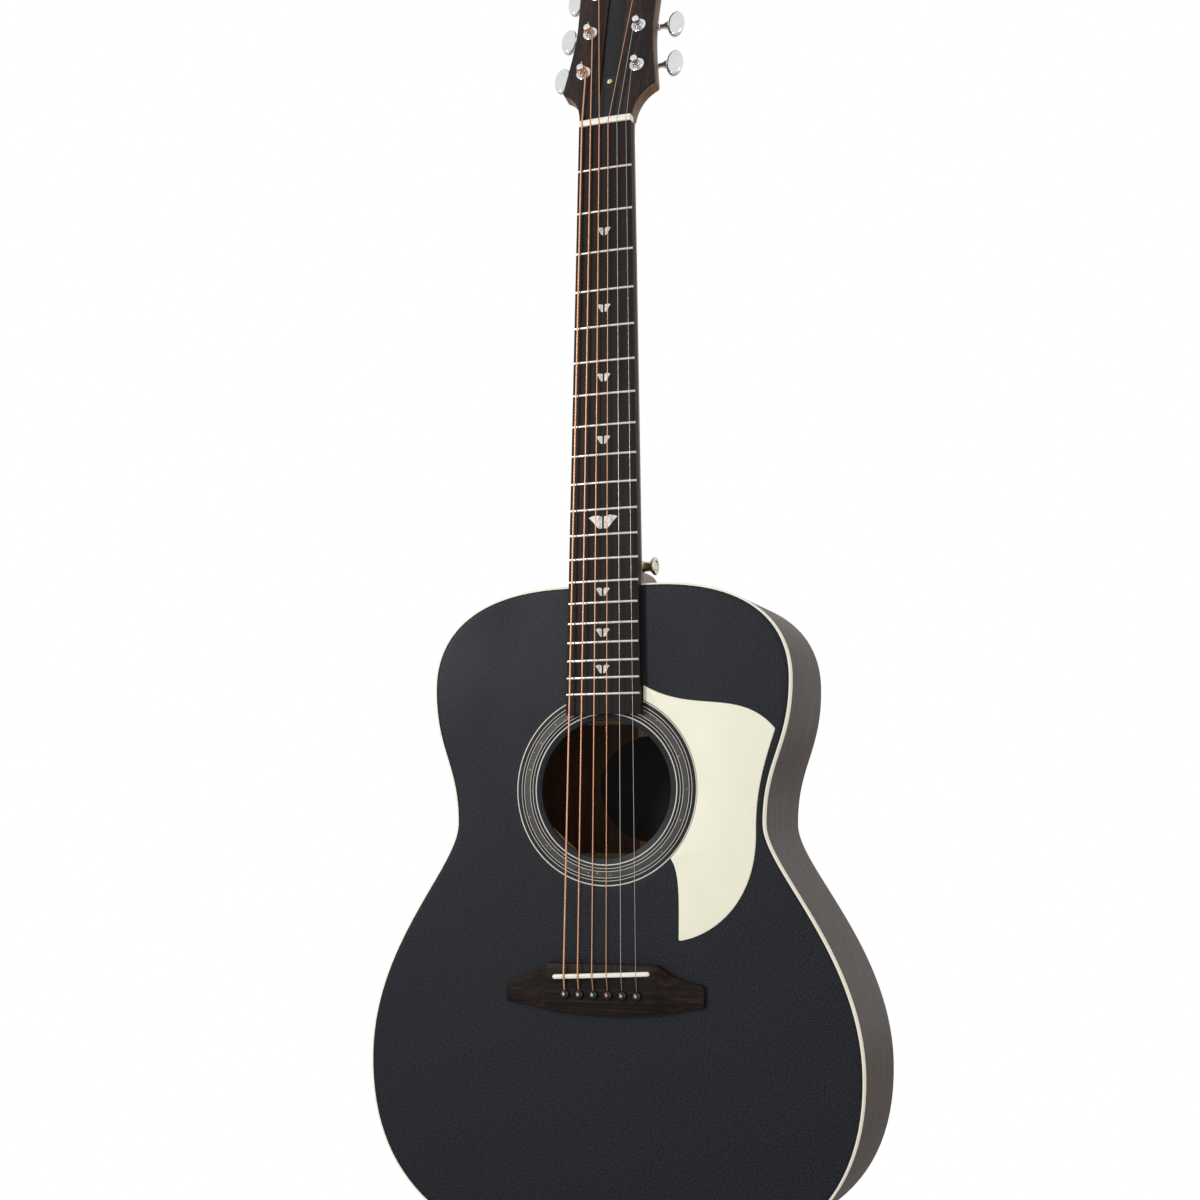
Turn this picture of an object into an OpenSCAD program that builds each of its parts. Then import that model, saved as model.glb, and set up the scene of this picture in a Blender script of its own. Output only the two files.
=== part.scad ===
// Steel-string acoustic guitar with a bolt-on neck and six sealed tuners.
// Millimetres. X runs to the treble side, Y from the soundboard to the back, Z up the neck.
// Origin: the nut's fingerboard edge, on the centre line, in the plane of the soundboard's face.

/* [Scale] */
// String length from nut to saddle
scale_length = 648; // [600:1:700]
// Frets on the fingerboard
fret_count = 20; // [18:1:21]
// Fret at which the neck meets the body
joint_fret = 14; // [12:1:14]
// Distance from that fret to the body's edge
joint_gap = 2; // [0:0.5:4]

/* [Body] */
// Length of the body from tail to neck joint
body_length = 491; // [440:1:520]
// Greatest width of the lower bout
lower_bout_w = 380; // [340:1:420]
// Least width at the waist
waist_w = 242; // [210:1:270]
// Greatest width of the upper bout
upper_bout_w = 283; // [250:1:310]
// Height of the lower bout's widest line above the tail
lower_bout_rise = 141; // [120:1:160]
// Drop from the neck joint to the upper bout's widest line
upper_bout_drop = 73; // [60:1:90]
// Share of the way from the lower to the upper bout line at which the waist lies
waist_share = 0.62; // [0.55:0.01:0.7]
// Depth of the body at the tail
tail_depth = 110; // [95:1:125]
// Depth of the body at the neck joint
neck_depth = 92; // [80:1:110]
// Radius of the back's cross arch
back_arch_r = 4500; // [3500:100:6000]
// Thickness of the soundboard
top_t = 2.8; // [2.4:0.1:3.4]
// Thickness of the back
back_t = 2.6; // [2.2:0.1:3.2]
// Thickness of the sides
side_t = 2.4; // [2:0.1:3]
// Thickness of the binding strip
binding_t = 1.5; // [1:0.1:2]
// Depth of the binding strip
binding_d = 6; // [4:0.5:8]
// Width of the linings
lining_w = 5.5; // [4:0.5:8]
// Height of the linings
lining_h = 13; // [10:1:18]

/* [Soundhole] */
// Soundhole radius
hole_r = 50.8; // [45:0.1:52]
// Distance from the end of the fingerboard to the soundhole's edge
hole_gap = 4; // [2:0.5:10]
// Outer radius of the rosette
rosette_r = 71; // [66:0.5:74]
// Depth of the rosette inlay
rosette_t = 1.2; // [0.8:0.1:1.8]
// Radius of the soundhole label
label_r = 40.5; // [30:0.5:42]

/* [Neck] */
// Width of the fingerboard at the nut
nut_w = 43; // [41:0.5:46]
// Width of the fingerboard at the last fret
last_fret_w = 58.7; // [56:0.1:61]
// Thickness of the fingerboard
board_t = 7; // [5.5:0.1:7.5]
// Radius of the fingerboard's crown
board_r = 400; // [300:10:500]
// Length of fingerboard past the last fret
board_tail = 15; // [10:1:18]
// Depth of neck wood under the fingerboard at the nut
neck_t = 14.4; // [13:0.1:17]
// Depth of neck wood at the heel
neck_heel_t = 16.5; // [15:0.1:19]
// Thickness of the nut
nut_t = 5; // [4:0.1:6]
// Height of the fret crowns
fret_h = 1.1; // [0.9:0.1:1.4]
// Width of the fret crowns
fret_w = 2.2; // [1.8:0.1:2.8]
// Depth of the heel from the soundboard plane to its cap
heel_depth = 84; // [70:1:90]

/* [Headstock] */
// Angle at which the headstock leans back
head_angle = 14; // [10:0.5:17]
// Length of the headstock
head_length = 166; // [155:1:180]
// Half width of the headstock at its lower corners
head_corner_w = 38.5; // [34:0.5:42]
// Half width of the headstock at its middle
head_mid_w = 32.2; // [30:0.5:36]
// Thickness of the headstock's core
head_t = 11; // [10:0.5:15]
// Thickness of the dark wood wings on its face
wing_t = 2.4; // [1.5:0.1:3]
// Thickness of the black centre panel
panel_t = 1.2; // [0.8:0.1:1.4]
// Half width of the black centre panel
panel_w = 7.3; // [6:0.1:9]

/* [Tuners] */
// Height of the first posts above the nut, along the headstock
post_rise = 45.8; // [40:0.5:55]
// Distance between posts along the headstock
post_step = 38.4; // [32:0.1:42]
// Half distance between the first pair of posts
post_x = 22.4; // [19:0.1:24]
// Step inwards of each further pair of posts
post_step_in = 1.9; // [0:0.1:3]
// Radius of the string posts
post_r = 3; // [2.5:0.05:3.5]
// Height of the posts above the headstock's face
post_h = 9.6; // [9:0.2:15]
// Teeth on each worm wheel
gear_teeth = 18; // [14:1:21]
// Distance between post and worm axes
worm_offset = 9.5; // [8.5:0.1:11]
// Gap between worm and wheel teeth
mesh_gap = 0.25; // [0.2:0.01:0.3]
// Width of each tuner button across the headstock
button_w = 14; // [12:0.1:20]
// Length of each tuner button
button_l = 24; // [18:0.5:26]
// Thickness of each tuner button
button_t = 6; // [5:0.5:10]

/* [Bridge] */
// Length of the bridge across the soundboard
bridge_l = 153; // [140:1:170]
// Height of the bridge's middle
bridge_h = 8.5; // [7:0.1:10]
// Height of the bridge's wing tips
wing_tip_h = 3.5; // [2.5:0.1:5]
// Half length of the bridge's full-height middle
bridge_mid = 42; // [38:0.5:48]
// Thickness of the saddle
saddle_t = 3.4; // [2.8:0.1:3.6]
// Length of the saddle
saddle_l = 75; // [70:1:80]
// Height of the saddle above the bridge
saddle_h = 3.3; // [2.5:0.1:4.5]
// Slant of the saddle that lengthens the bass strings
saddle_slant = 3; // [2:0.1:4]
// Distance between strings at the bridge pins
pin_step = 11.1; // [10.5:0.1:11.5]
// Distance from the saddle line back to the pins
pin_back = 14; // [12:0.5:17]
// Radius of the pin holes
pin_hole_r = 2.9; // [2.7:0.05:3.2]

/* [Strings] */
// Distance between the outer strings at the nut
nut_spread = 36.4; // [34:0.1:38]
// Height of the strings above the frets at the nut
nut_action = 0.35; // [0.25:0.01:0.5]
// Radii of strings 1 to 6, from high E to low E
string_r = [0.15, 0.2, 0.3, 0.41, 0.53, 0.67];

/* [Fit] */
// Clearance of inlays and covers in their pockets
seat_gap = 0.1; // [0.05:0.01:0.2]
// Radial running clearance of posts and worm shafts
run_gap = 0.05; // [0.02:0.01:0.1]
// Clearance between parts that pass each other
pass_gap = 0.3; // [0.25:0.05:0.6]

/* [Hidden] */
$fn = 64;
far = 400;
skin = 0.02;

// Places along the neck
function fret_z(n) = -scale_length * (1 - pow(2, -n / 12));
saddle_z = -scale_length;
joint_z = fret_z(joint_fret) - joint_gap;
tail_z = joint_z - body_length;
board_end_z = fret_z(fret_count) - board_tail;
hole_z = board_end_z - hole_gap - hole_r;
pin_z = saddle_z - pin_back;

// Places along the body's outline
lower_z = tail_z + lower_bout_rise;
upper_z = joint_z - upper_bout_drop;
waist_z = lower_z + waist_share * (upper_z - lower_z);

function bez(p, t) = pow(1 - t, 3) * p[0] + 3 * pow(1 - t, 2) * t * p[1]
    + 3 * (1 - t) * t * t * p[2] + pow(t, 3) * p[3];
function bez_dir(p, t) = 3 * pow(1 - t, 2) * (p[1] - p[0]) + 6 * (1 - t) * t * (p[2] - p[1])
    + 3 * t * t * (p[3] - p[2]);
function curve(p, n) = [for (i = [0 : n]) bez(p, i / n)];
function flip(pts) = [for (i = [len(pts) - 1 : -1 : 0]) if (pts[i][0] > skin)
    [-pts[i][0], pts[i][1]]];
function both(pts) = concat(pts, flip(pts));

// Half outline of the body as four curves, each with its handles' shares of the spans
lower_half = lower_bout_w / 2;
waist_half = waist_w / 2;
upper_half = upper_bout_w / 2;
joint_flat = 34;
outline_curves = [
    [[0, tail_z], [0.62 * lower_half, tail_z],
        [lower_half, lower_z - 0.7 * lower_bout_rise], [lower_half, lower_z]],
    [[lower_half, lower_z], [lower_half, lower_z + 0.48 * (waist_z - lower_z)],
        [waist_half, waist_z - 0.18 * (waist_z - lower_z)], [waist_half, waist_z]],
    [[waist_half, waist_z], [waist_half, waist_z + 0.43 * (upper_z - waist_z)],
        [upper_half, upper_z - 0.47 * (upper_z - waist_z)], [upper_half, upper_z]],
    [[upper_half, upper_z], [upper_half, upper_z + 0.52 * upper_bout_drop],
        [joint_flat + 0.74 * (upper_half - joint_flat), joint_z], [joint_flat, joint_z]]
];
outline_steps = 14;
function inwards(d) = [-d[1], d[0]] / norm(d);
function half_outline(inset) = [for (k = [0 : 3]) for (i = [(k == 0 ? 0 : 1) : outline_steps])
    bez(outline_curves[k], i / outline_steps)
    + inset * inwards(bez_dir(outline_curves[k], i / outline_steps))];
function outline(inset) = both(half_outline(inset));

// Extrudes a shape drawn in X and Z between two depths
module plan(y0, y1) {
    translate([0, y1, 0]) rotate([90, 0, 0]) linear_extrude(y1 - y0) children();
}
module rod_x(r, x0, x1) {
    translate([x0, 0, 0]) rotate([0, 90, 0]) cylinder(r = r, h = x1 - x0);
}
module rod_y(r, y0, y1) {
    translate([0, y1, 0]) rotate([90, 0, 0]) cylinder(r = r, h = y1 - y0);
}
module rod_z(r, z0, z1) {
    translate([0, 0, z0]) cylinder(r = r, h = z1 - z0);
}
// A round bar between two points, run past each end by a given length
module bar(p, q, r, past_p, past_q, fn = 24) {
    v = q - p;
    len_v = norm(v);
    translate(p)
        rotate([0, acos(v[2] / len_v), atan2(v[1], v[0])])
            translate([0, 0, -past_p]) cylinder(r = r, h = len_v + past_p + past_q, $fn = fn);
}
module spin(profile, fn = 48) {
    rotate_extrude($fn = fn) polygon(profile);
}

// Everything in front of the back's arched surface, less a thickness
back_tilt = atan((tail_depth - neck_depth) / body_length);
module back_space(t) {
    translate([0, tail_depth, tail_z]) rotate([back_tilt, 0, 0])
        translate([0, -back_arch_r, -far])
            cylinder(r = back_arch_r - t, h = body_length + 2 * far, $fn = 720);
}
module between_backs(t0, t1) {
    intersection() {
        children();
        difference() {
            back_space(t0);
            back_space(t1);
        }
    }
}

// ---- Soundboard, its inlays and its edge ----
ring_line = 1;
thin_line = 0.7;
// The lines' places are drawn for this width and spread over the one between hole and rosette edge
ring_design_w = 20.2;
ring_share = (rosette_r - hole_r) / ring_design_w;
line_r = [for (s = [0, 3.6, 5.8, 10.4, 12.6, 15]) rosette_r - s * ring_share];
band_r = [line_r[3] + 0.2, line_r[2] - thin_line - 0.3];
line_w = [ring_line, thin_line, thin_line, thin_line, thin_line, ring_line];

module annulus(r_out, r_in, y0, y1) {
    translate([0, 0, hole_z]) difference() {
        rod_y(r_out, y0, y1);
        rod_y(r_in, y0 - 1, y1 + 1);
    }
}
module ring_lines() {
    for (i = [0 : 5]) annulus(line_r[i], line_r[i] - line_w[i], 0, rosette_t);
}
module pin_places() {
    for (i = [1 : 6]) translate([pin_x(i), 0, pin_z]) children();
}
module soundboard() color("#2b2c30") difference() {
    plan(0, top_t) polygon(outline(binding_t));
    translate([0, 0, hole_z]) rod_y(hole_r, -1, top_t + 1, $fn = 128);
    ring_lines($fn = 128);
    annulus(band_r[1], band_r[0], -1, rosette_t, $fn = 128);
    pin_places() rod_y(pin_hole_r, -1, top_t + 1);
}
module rosette_band() color("#2a1a12") annulus(band_r[1], band_r[0], 0, rosette_t, $fn = 128);
module rosette_rings() color("#c4c0b2") ring_lines($fn = 128);

module top_binding() color("#fdf5df") plan(0, binding_d) difference() {
    polygon(outline(0));
    polygon(outline(binding_t));
}

// ---- Pickguard: follows the rosette, then sweeps out over the treble side ----
pick_t = 1.1;
pick_gap = 0.5;
pick_r = rosette_r + pick_gap;
function board_half(z) = nut_w / 2 + (last_fret_w - nut_w) / 2 * z / fret_z(fret_count);
pick_x = board_half(board_end_z) + pass_gap;
pick_from = acos(pick_x / pick_r);
pick_to = -45;
pick_top = [pick_x, hole_z + 76];
pick_tip = [pick_x + 27, hole_z - 109];
pick_side = [pick_x + 85, hole_z - 32];
pick_point = [pick_x + 100, hole_z + 42];
pick_low = [pick_r * cos(pick_to), hole_z + pick_r * sin(pick_to)];
pick_curves = [
    [pick_low, pick_low + [8, -8], pick_tip + [0, 23], pick_tip],
    [pick_tip, pick_tip + [23, 3], pick_side + [0, -52], pick_side],
    [pick_side, pick_side + [0, 28], pick_point + [-10, -28], pick_point],
    [pick_point, pick_point + [-26, 31], pick_top + [39, -23], pick_top]
];
module pickguard() color("#ececd8") plan(-pick_t, 0) polygon(concat(
    [for (i = [0 : 24]) let (a = pick_from + (pick_to - pick_from) * i / 24)
        [pick_r * cos(a), hole_z + pick_r * sin(a)]],
    [for (c = pick_curves) for (i = [1 : 14]) bez(c, i / 14)]));

// ---- Sides, back and what joins them ----
module half_ring(out, in) {
    polygon(concat(half_outline(out), [[0, joint_z - out], [0, joint_z - in]],
        [for (i = [len(half_outline(in)) - 1 : -1 : 0]) half_outline(in)[i]]));
}
module side_shell() intersection() {
    union() {
        plan(binding_d, tail_depth + far / 4) half_ring(0, side_t);
        plan(top_t, binding_d) half_ring(binding_t, side_t);
    }
    back_space(back_t);
}
module tail_screw_hole() {
    rod_z(strap_screw_r + screw_gap, tail_z - 1, tail_z + strap_screw_l);
}
module treble_side() color("#504641") difference() {
    side_shell();
    translate([0, tail_depth / 2, 0]) tail_screw_hole();
    bolt_places() rod_z(bolt_r + seat_gap, joint_z - far / 8, joint_z + 1);
}
module bass_side() color("#504641") difference() {
    mirror([1, 0, 0]) side_shell();
    translate([0, tail_depth / 2, 0]) tail_screw_hole();
    bolt_places() rod_z(bolt_r + seat_gap, joint_z - far / 8, joint_z + 1);
}
module back_panel() color("#4a3f3a") between_backs(0, back_t)
    plan(neck_depth / 2, tail_depth + far / 4) polygon(outline(0));

block_w = 66;
block_l = 26;
tail_block_w = 78;
tail_block_l = 17;
module blocks_2d() {
    translate([-block_w / 2, joint_z - side_t - block_l]) square([block_w, far]);
    translate([-tail_block_w / 2, tail_z + side_t + tail_block_l - far]) square([tail_block_w, far]);
}
module inner_ring_2d() difference() {
    polygon(outline(side_t));
    polygon(outline(side_t + lining_w));
    blocks_2d();
}
module top_linings() color("#b08d62") plan(top_t, top_t + lining_h) inner_ring_2d();
module back_linings() color("#b08d62") between_backs(back_t, back_t + lining_h)
    plan(neck_depth / 2, tail_depth + far / 4) inner_ring_2d();

bolt_r = 3;
bolt_head_r = 5;
bolt_y = [24, 58];
bolt_in = 20;
module bolt_places() {
    for (y = bolt_y) translate([0, y, 0]) children();
}
module block(w, z0, l) intersection() {
    plan(top_t, tail_depth) intersection() {
        polygon(outline(side_t));
        translate([-w / 2, z0]) square([w, l]);
    }
    back_space(back_t);
}
module neck_block() color("#a07850") difference() {
    block(block_w, joint_z - side_t - block_l, far);
    bolt_places() rod_z(bolt_r + seat_gap, joint_z - far / 8, joint_z + 1);
}
module tail_block() color("#a07850") difference() {
    block(tail_block_w, tail_z, side_t + tail_block_l);
    translate([0, tail_depth / 2, 0]) tail_screw_hole();
}

// ---- Braces ----
brace_w = 8;
brace_h = 13;
x_cross_z = hole_z - hole_r - 24;
x_angle = 49;
module inside_2d() difference() {
    polygon(outline(side_t + lining_w));
    blocks_2d();
}
// A bar on the underside of the soundboard, from a point, at an angle from the Z axis
module brace_2d(x, z, angle, l0, l1, w) {
    translate([x, z]) rotate(angle) translate([-w / 2, l0]) square([w, l1 - l0]);
}
plate_w = 56;
plate_up = 8;
plate_down = 31;
plate_t = 2.8;
tone_w = 6.5;
module top_bar(h) plan(top_t, top_t + h) intersection() {
    inside_2d();
    children();
}
module x_leg(side) top_bar(brace_h) brace_2d(0, x_cross_z, side * x_angle, -far, far * 0.4, brace_w);
module x_legs() {
    x_leg(1);
    x_leg(-1);
}
module beyond_legs() for (side = [-1, 1]) translate([0, x_cross_z]) rotate(side * x_angle)
    translate([side > 0 ? 0 : -far, -far]) square(far);
module upper_brace() top_bar(brace_h)
    brace_2d(0, (hole_z + hole_r + joint_z - block_l) / 2 + 3, 90, -far, far, brace_w * 1.5);
module top_braces() color("#c9ab78") {
    x_leg(1);
    difference() {
        x_leg(-1);
        x_leg(1);
    }
    difference() {
        union() {
            for (k = [0, 1]) top_bar(brace_h * 0.8)
                brace_2d(-10, saddle_z - plate_down - 22 - 44 * k, 70, -far, far, tone_w);
        }
        x_legs();
    }
    difference() {
        union() {
            for (side = [-1, 1]) top_bar(brace_h * 0.7)
                brace_2d(side * (hole_r + 12), x_cross_z + 6, side * -90, 0, far, tone_w);
        }
        x_legs();
    }
    upper_brace();
}
module bridge_plate() color("#c9ab78") difference() {
    plan(top_t, top_t + plate_t)
        translate([-plate_w, saddle_z - plate_down]) square([2 * plate_w, plate_up + plate_down]);
    pin_places() rod_y(pin_hole_r, 0, top_t + plate_t + 1);
    x_legs();
    plan(0, top_t + plate_t + 1) beyond_legs();
}

back_brace_z = [hole_z + 58, hole_z - 52, lower_z + 20, lower_z - 62];
back_brace_w = [9, 9, 20, 20];
back_brace_h = [15, 15, 9, 9];
strip_w = 14;
strip_t = 1.8;
module back_braces() color("#c9ab78") for (i = [0 : 3])
    between_backs(back_t, back_t + back_brace_h[i]) plan(neck_depth / 2, tail_depth + far / 4)
        intersection() {
            inside_2d();
            brace_2d(0, back_brace_z[i], 90, -far, far, back_brace_w[i]);
        }
label_x = 1;
label_z = hole_z + 3;
module back_strip() color("#b99a68") between_backs(back_t, back_t + strip_t)
    plan(neck_depth / 2, tail_depth + far / 4) difference() {
        intersection() {
            inside_2d();
            translate([-strip_w / 2, tail_z]) square([strip_w, body_length]);
        }
        for (i = [0 : 3]) brace_2d(0, back_brace_z[i], 90, -far, far, back_brace_w[i]);
        translate([label_x, label_z]) circle(label_r + 1);
    }
module soundhole_label() color("#1f1b19") between_backs(back_t, back_t + 0.5)
    translate([label_x, 0, label_z]) rod_y(label_r, neck_depth / 2, tail_depth + 10, $fn = 96);

// ---- Bridge, saddle and pins ----
bridge_top = 8;
bridge_low = 27.5;
bridge_end_up = -5;
bridge_end_low = 21.5;
bridge_half = bridge_l / 2;
end_round = 2.5;
bridge_half_outline = concat(
    curve([[0, -bridge_low], [bridge_half * 0.4, -bridge_low],
        [bridge_half * 0.75, -bridge_end_low - 1.6], [bridge_half - end_round, -bridge_end_low]], 12),
    [[bridge_half - 0.7, -bridge_end_low + 0.8], [bridge_half, -bridge_end_low + end_round],
        [bridge_half, bridge_end_up - end_round], [bridge_half - 0.7, bridge_end_up - 0.7]],
    curve([[bridge_half - end_round, bridge_end_up], [bridge_half - 14, bridge_end_up + 1.2],
        [bridge_mid + 11, bridge_end_up + 5], [bridge_mid, bridge_top]], 10));
scoop_dx = bridge_half - bridge_mid;
scoop_dh = bridge_h - wing_tip_h;
scoop_r = (scoop_dx * scoop_dx + scoop_dh * scoop_dh) / (2 * scoop_dh);
module on_saddle_line() {
    translate([0, 0, saddle_z]) rotate([0, -saddle_slant, 0]) children();
}
saddle_in = 4.5;
module saddle_2d(grow) {
    r = saddle_t / 2 + grow;
    for (side = [-1, 1]) translate([side * (saddle_l / 2 - saddle_t / 2), 0]) circle(r);
    translate([-saddle_l / 2 + saddle_t / 2, -r]) square([saddle_l - saddle_t, 2 * r]);
}
module bridge() color("#2a1e1a") difference() {
    translate([0, 0, saddle_z]) plan(-bridge_h, 0) polygon(both(bridge_half_outline));
    for (side = [-1, 1]) translate([side * bridge_half, -wing_tip_h - scoop_r, saddle_z])
        rod_z(scoop_r, -far / 8, far / 8, $fn = 256);
    on_saddle_line() plan(-bridge_h - 1, -bridge_h + saddle_in) saddle_2d(run_gap);
    pin_places() rod_y(pin_hole_r, -bridge_h - 1, 1);
}
saddle_top = bridge_h + saddle_h;
module saddle() color("#efece2") intersection() {
    on_saddle_line() plan(-saddle_top - 1, -bridge_h + saddle_in) saddle_2d(0);
    translate([0, board_r - saddle_top, saddle_z]) rod_z(board_r, -far / 8, far / 8, $fn = 720);
}

pin_r = 2.6;
pin_head_r = 3.6;
pin_head_h = 3;
pin_l = 23;
pin_slot = 1.7;
pin_slot_z = 1.2;
string_in = 2.05;
module pin_at_top() {
    translate([0, -bridge_h, 0]) rotate([-90, 0, 0]) children();
}
module bridge_pins() color("#121212") pin_places() difference() {
    pin_at_top() spin([[0, -pin_head_h], [1.1, -pin_head_h], [2.3, -pin_head_h + 0.35],
        [3.2, -pin_head_h + 1.1], [pin_head_r, -pin_head_h + 2], [3.4, -0.4], [2.9, 0], [pin_r, 0],
        [pin_r - 0.25, pin_l - 2], [pin_r - 1.2, pin_l], [0, pin_l]]);
    translate([-pin_slot / 2, -far, pin_slot_z]) cube([pin_slot, 2 * far, far]);
    translate([0, -bridge_h - pin_head_h, 0]) rod_y(1 + run_gap, -1, 0.8);
}
module pin_dots() color("#b9b2a4") pin_places()
    translate([0, -bridge_h - pin_head_h, 0]) rod_y(1, 0, 0.8);

// ---- Fingerboard, frets, markers and nut ----
module crown(z0, z1, r) {
    translate([0, board_r - board_t, 0]) rod_z(r, z0, z1, $fn = 720);
}
module board_2d() polygon([[nut_w / 2, 0], [board_half(board_end_z), board_end_z],
    [-board_half(board_end_z), board_end_z], [-nut_w / 2, 0]]);
module board_blank() intersection() {
    plan(-board_t - 1, 0) board_2d();
    crown(board_end_z - 1, 1, board_r);
}
tang_d = 2;
tang_w = 0.55;
// One fret, bent to the crown of the board; grow widens it into its own slot
module fret_arc(n, profile) {
    a = asin((board_half(fret_z(n)) - 0.05) / board_r);
    translate([0, board_r - board_t, fret_z(n)])
        rotate([0, 0, -90 - a]) rotate_extrude(angle = 2 * a, $fn = 360) polygon(profile);
}
fret_profile = concat([[board_r - tang_d, -tang_w / 2], [board_r, -tang_w / 2]],
    [for (i = [0 : 8]) let (t = 180 * i / 8) [board_r + fret_h * sin(t), -fret_w / 2 * cos(t)]],
    [[board_r, tang_w / 2], [board_r - tang_d, tang_w / 2]]);
slot_profile = [[board_r - tang_d - seat_gap, -tang_w / 2 - run_gap],
    [board_r + 1, -tang_w / 2 - run_gap], [board_r + 1, tang_w / 2 + run_gap],
    [board_r - tang_d - seat_gap, tang_w / 2 + run_gap]];
module fret_slot(n) translate([0, board_r - board_t, fret_z(n)]) difference() {
    rod_z(board_r + 1, -tang_w / 2 - run_gap, tang_w / 2 + run_gap, $fn = 720);
    rod_z(board_r - tang_d - seat_gap, -1, 1, $fn = 720);
}
module frets() color("#c8c6c0") for (n = [1 : fret_count]) fret_arc(n, fret_profile);

marker_frets = [3, 5, 7, 9, 12, 15, 17, 19];
marker_t = 2;
dot_r = 1.1;
dot_l = 3;
// One half of a pair of wings, out from its inner edge: a rounded shoulder, an outer tip and a foot
wing_half = [[0, -3.2], [0, 2.4], [1, 2.9], [2.4, 3.2], [3.6, 2.8], [4.8, 2.2], [3.9, 1.1], [3.1, 0],
    [2.4, -1.4], [1.6, -2.6], [0.9, -3.2]];
wing_apart = 0.75;
function marker_z(n) = (fret_z(n) + fret_z(n - 1)) / 2;
function marker_size(n) = n == 12 ? [2.3, 1.6] : [1, 1];
module wings_2d() for (n = marker_frets) if (n <= fret_count)
    translate([0, marker_z(n)]) for (side = [0, 1]) mirror([side, 0, 0]) polygon(
        [for (p = wing_half) [wing_apart + p[0] * marker_size(n)[0], p[1] * marker_size(n)[1]]]);
module wing_inlays() plan(-board_t - 1, -board_t + marker_t) wings_2d();
// Dots set in the bass edge, two at the octave
module side_dots() for (n = marker_frets) if (n <= fret_count)
    for (dz = n == 12 ? [-3, 3] : [0])
        translate([0, -board_t / 2, marker_z(n) + dz])
            rod_x(dot_r, -far / 8, dot_l - board_half(marker_z(n)));
module fingerboard() color("#241c19") difference() {
    board_blank();
    for (n = [1 : fret_count]) fret_slot(n);
    wing_inlays();
    side_dots();
}
module position_markers() color("#e6e3dc") intersection() {
    board_blank();
    union() {
        wing_inlays();
        side_dots();
    }
}

function string_x_nut(i) = nut_spread / 2 - (i - 1) * nut_spread / 5;
function pin_x(i) = pin_step * (3.5 - i);
function crown_drop(x) = x * x / (2 * board_r);
function at_nut(i) = [string_x_nut(i),
    crown_drop(string_x_nut(i)) - board_t - fret_h - nut_action - string_r[i - 1], 0];
saddle_lift = 0.04;
function at_saddle(i) = let (x = pin_x(i))
    [x, crown_drop(x) - saddle_top - saddle_lift - string_r[i - 1], saddle_z + x * tan(saddle_slant)];
nut_top = board_t + fret_h + nut_action + 0.25;
module nut() color("#efece2") difference() {
    intersection() {
        translate([-nut_w / 2, -nut_top - 1, 0]) cube([nut_w, nut_top + 1, nut_t]);
        translate([0, board_r - nut_top, 0]) rod_z(board_r, -1, nut_t + 1, $fn = 720);
    }
    for (i = [1 : 6]) bar(at_nut(i), at_post(i), string_r[i - 1] + seat_gap, 3, 0, 8);
}

// ---- Neck ----
head_y = -3.5;
volute_l = 14;
volute_in = 0.3;
module on_head() {
    translate([0, head_y, nut_t]) rotate([-head_angle, 0, 0]) children();
}
function head_point(x, y, u) = [x, head_y + y * cos(head_angle) + u * sin(head_angle),
    nut_t + u * cos(head_angle) - y * sin(head_angle)];
corner_u = 29;
top_corner_u = head_length - 11;
head_top_w = head_mid_w + 2.3;
head_outline = concat([[nut_w / 2, -3]],
    curve([[nut_w / 2, 0], [nut_w / 2 + 1.2, 15], [head_corner_w - 9, corner_u - 5],
        [head_corner_w - 0.6, corner_u - 1]], 10),
    curve([[head_corner_w, corner_u + 0.6], [head_corner_w - 3, corner_u + 22],
        [head_mid_w - 1, corner_u + 46], [head_mid_w, corner_u + 70]], 10),
    curve([[head_mid_w, corner_u + 71], [head_mid_w + 0.3, corner_u + 85],
        [head_top_w - 0.5, top_corner_u - 14], [head_top_w, top_corner_u - 2]], 6),
    curve([[head_top_w - 1.4, top_corner_u], [head_top_w - 12, head_length - 5],
        [10, head_length - 1], [1, head_length]], 8));
module neck_section(w, t, z) translate([0, 0, z]) linear_extrude(skin) polygon(
    [for (a = [0 : 9 : 180]) [w * cos(a), t * pow(sin(a), 0.8)]]);
// Heel: its plan, its side view and its front view, each extruded and met
heel_w = board_half(joint_z);
heel_p = 34;
heel_cap_w = 13;
heel_cap_p = 21;
module half_round(w, p) polygon([for (a = [0 : 10 : 180]) [w * cos(a), p * pow(sin(a), 0.8)]]);
heel_side = concat([[0, -skin], [heel_p, -skin]],
    curve([[heel_p, neck_heel_t - 3], [heel_cap_p + 4, neck_heel_t + 1],
        [heel_cap_p, heel_depth * 0.45], [heel_cap_p, heel_depth]], 10), [[0, heel_depth]]);
heel_front = concat([[heel_w, 0]], curve([[heel_w, 6], [heel_w - 6, neck_heel_t + 4],
    [heel_cap_w + 3, heel_depth * 0.5], [heel_cap_w, heel_depth]], 10));
module heel() intersection() {
    translate([0, 0, joint_z]) plan(0, heel_depth) half_round(heel_w + 1, heel_p + 1);
    translate([-far / 2, 0, joint_z]) rotate([90, 0, 90]) linear_extrude(far)
        polygon([for (q = heel_side) [q[1], q[0]]]);
    translate([0, 0, joint_z]) linear_extrude(heel_p + 2) polygon(both(heel_front));
}
rod_w = 6;
rod_d = 8;
pocket_w = 5;
pocket_u = 30;
pocket_d = 10;
truss_end_z = joint_z + 12;
truss_y = rod_d / 2 + 0.2;
truss_nut_r = 3.3;
truss_nut_z = 9;
module post_places() {
    for (i = [1 : 6]) translate([post_px(i), 0, post_u(i)]) children();
}
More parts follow.
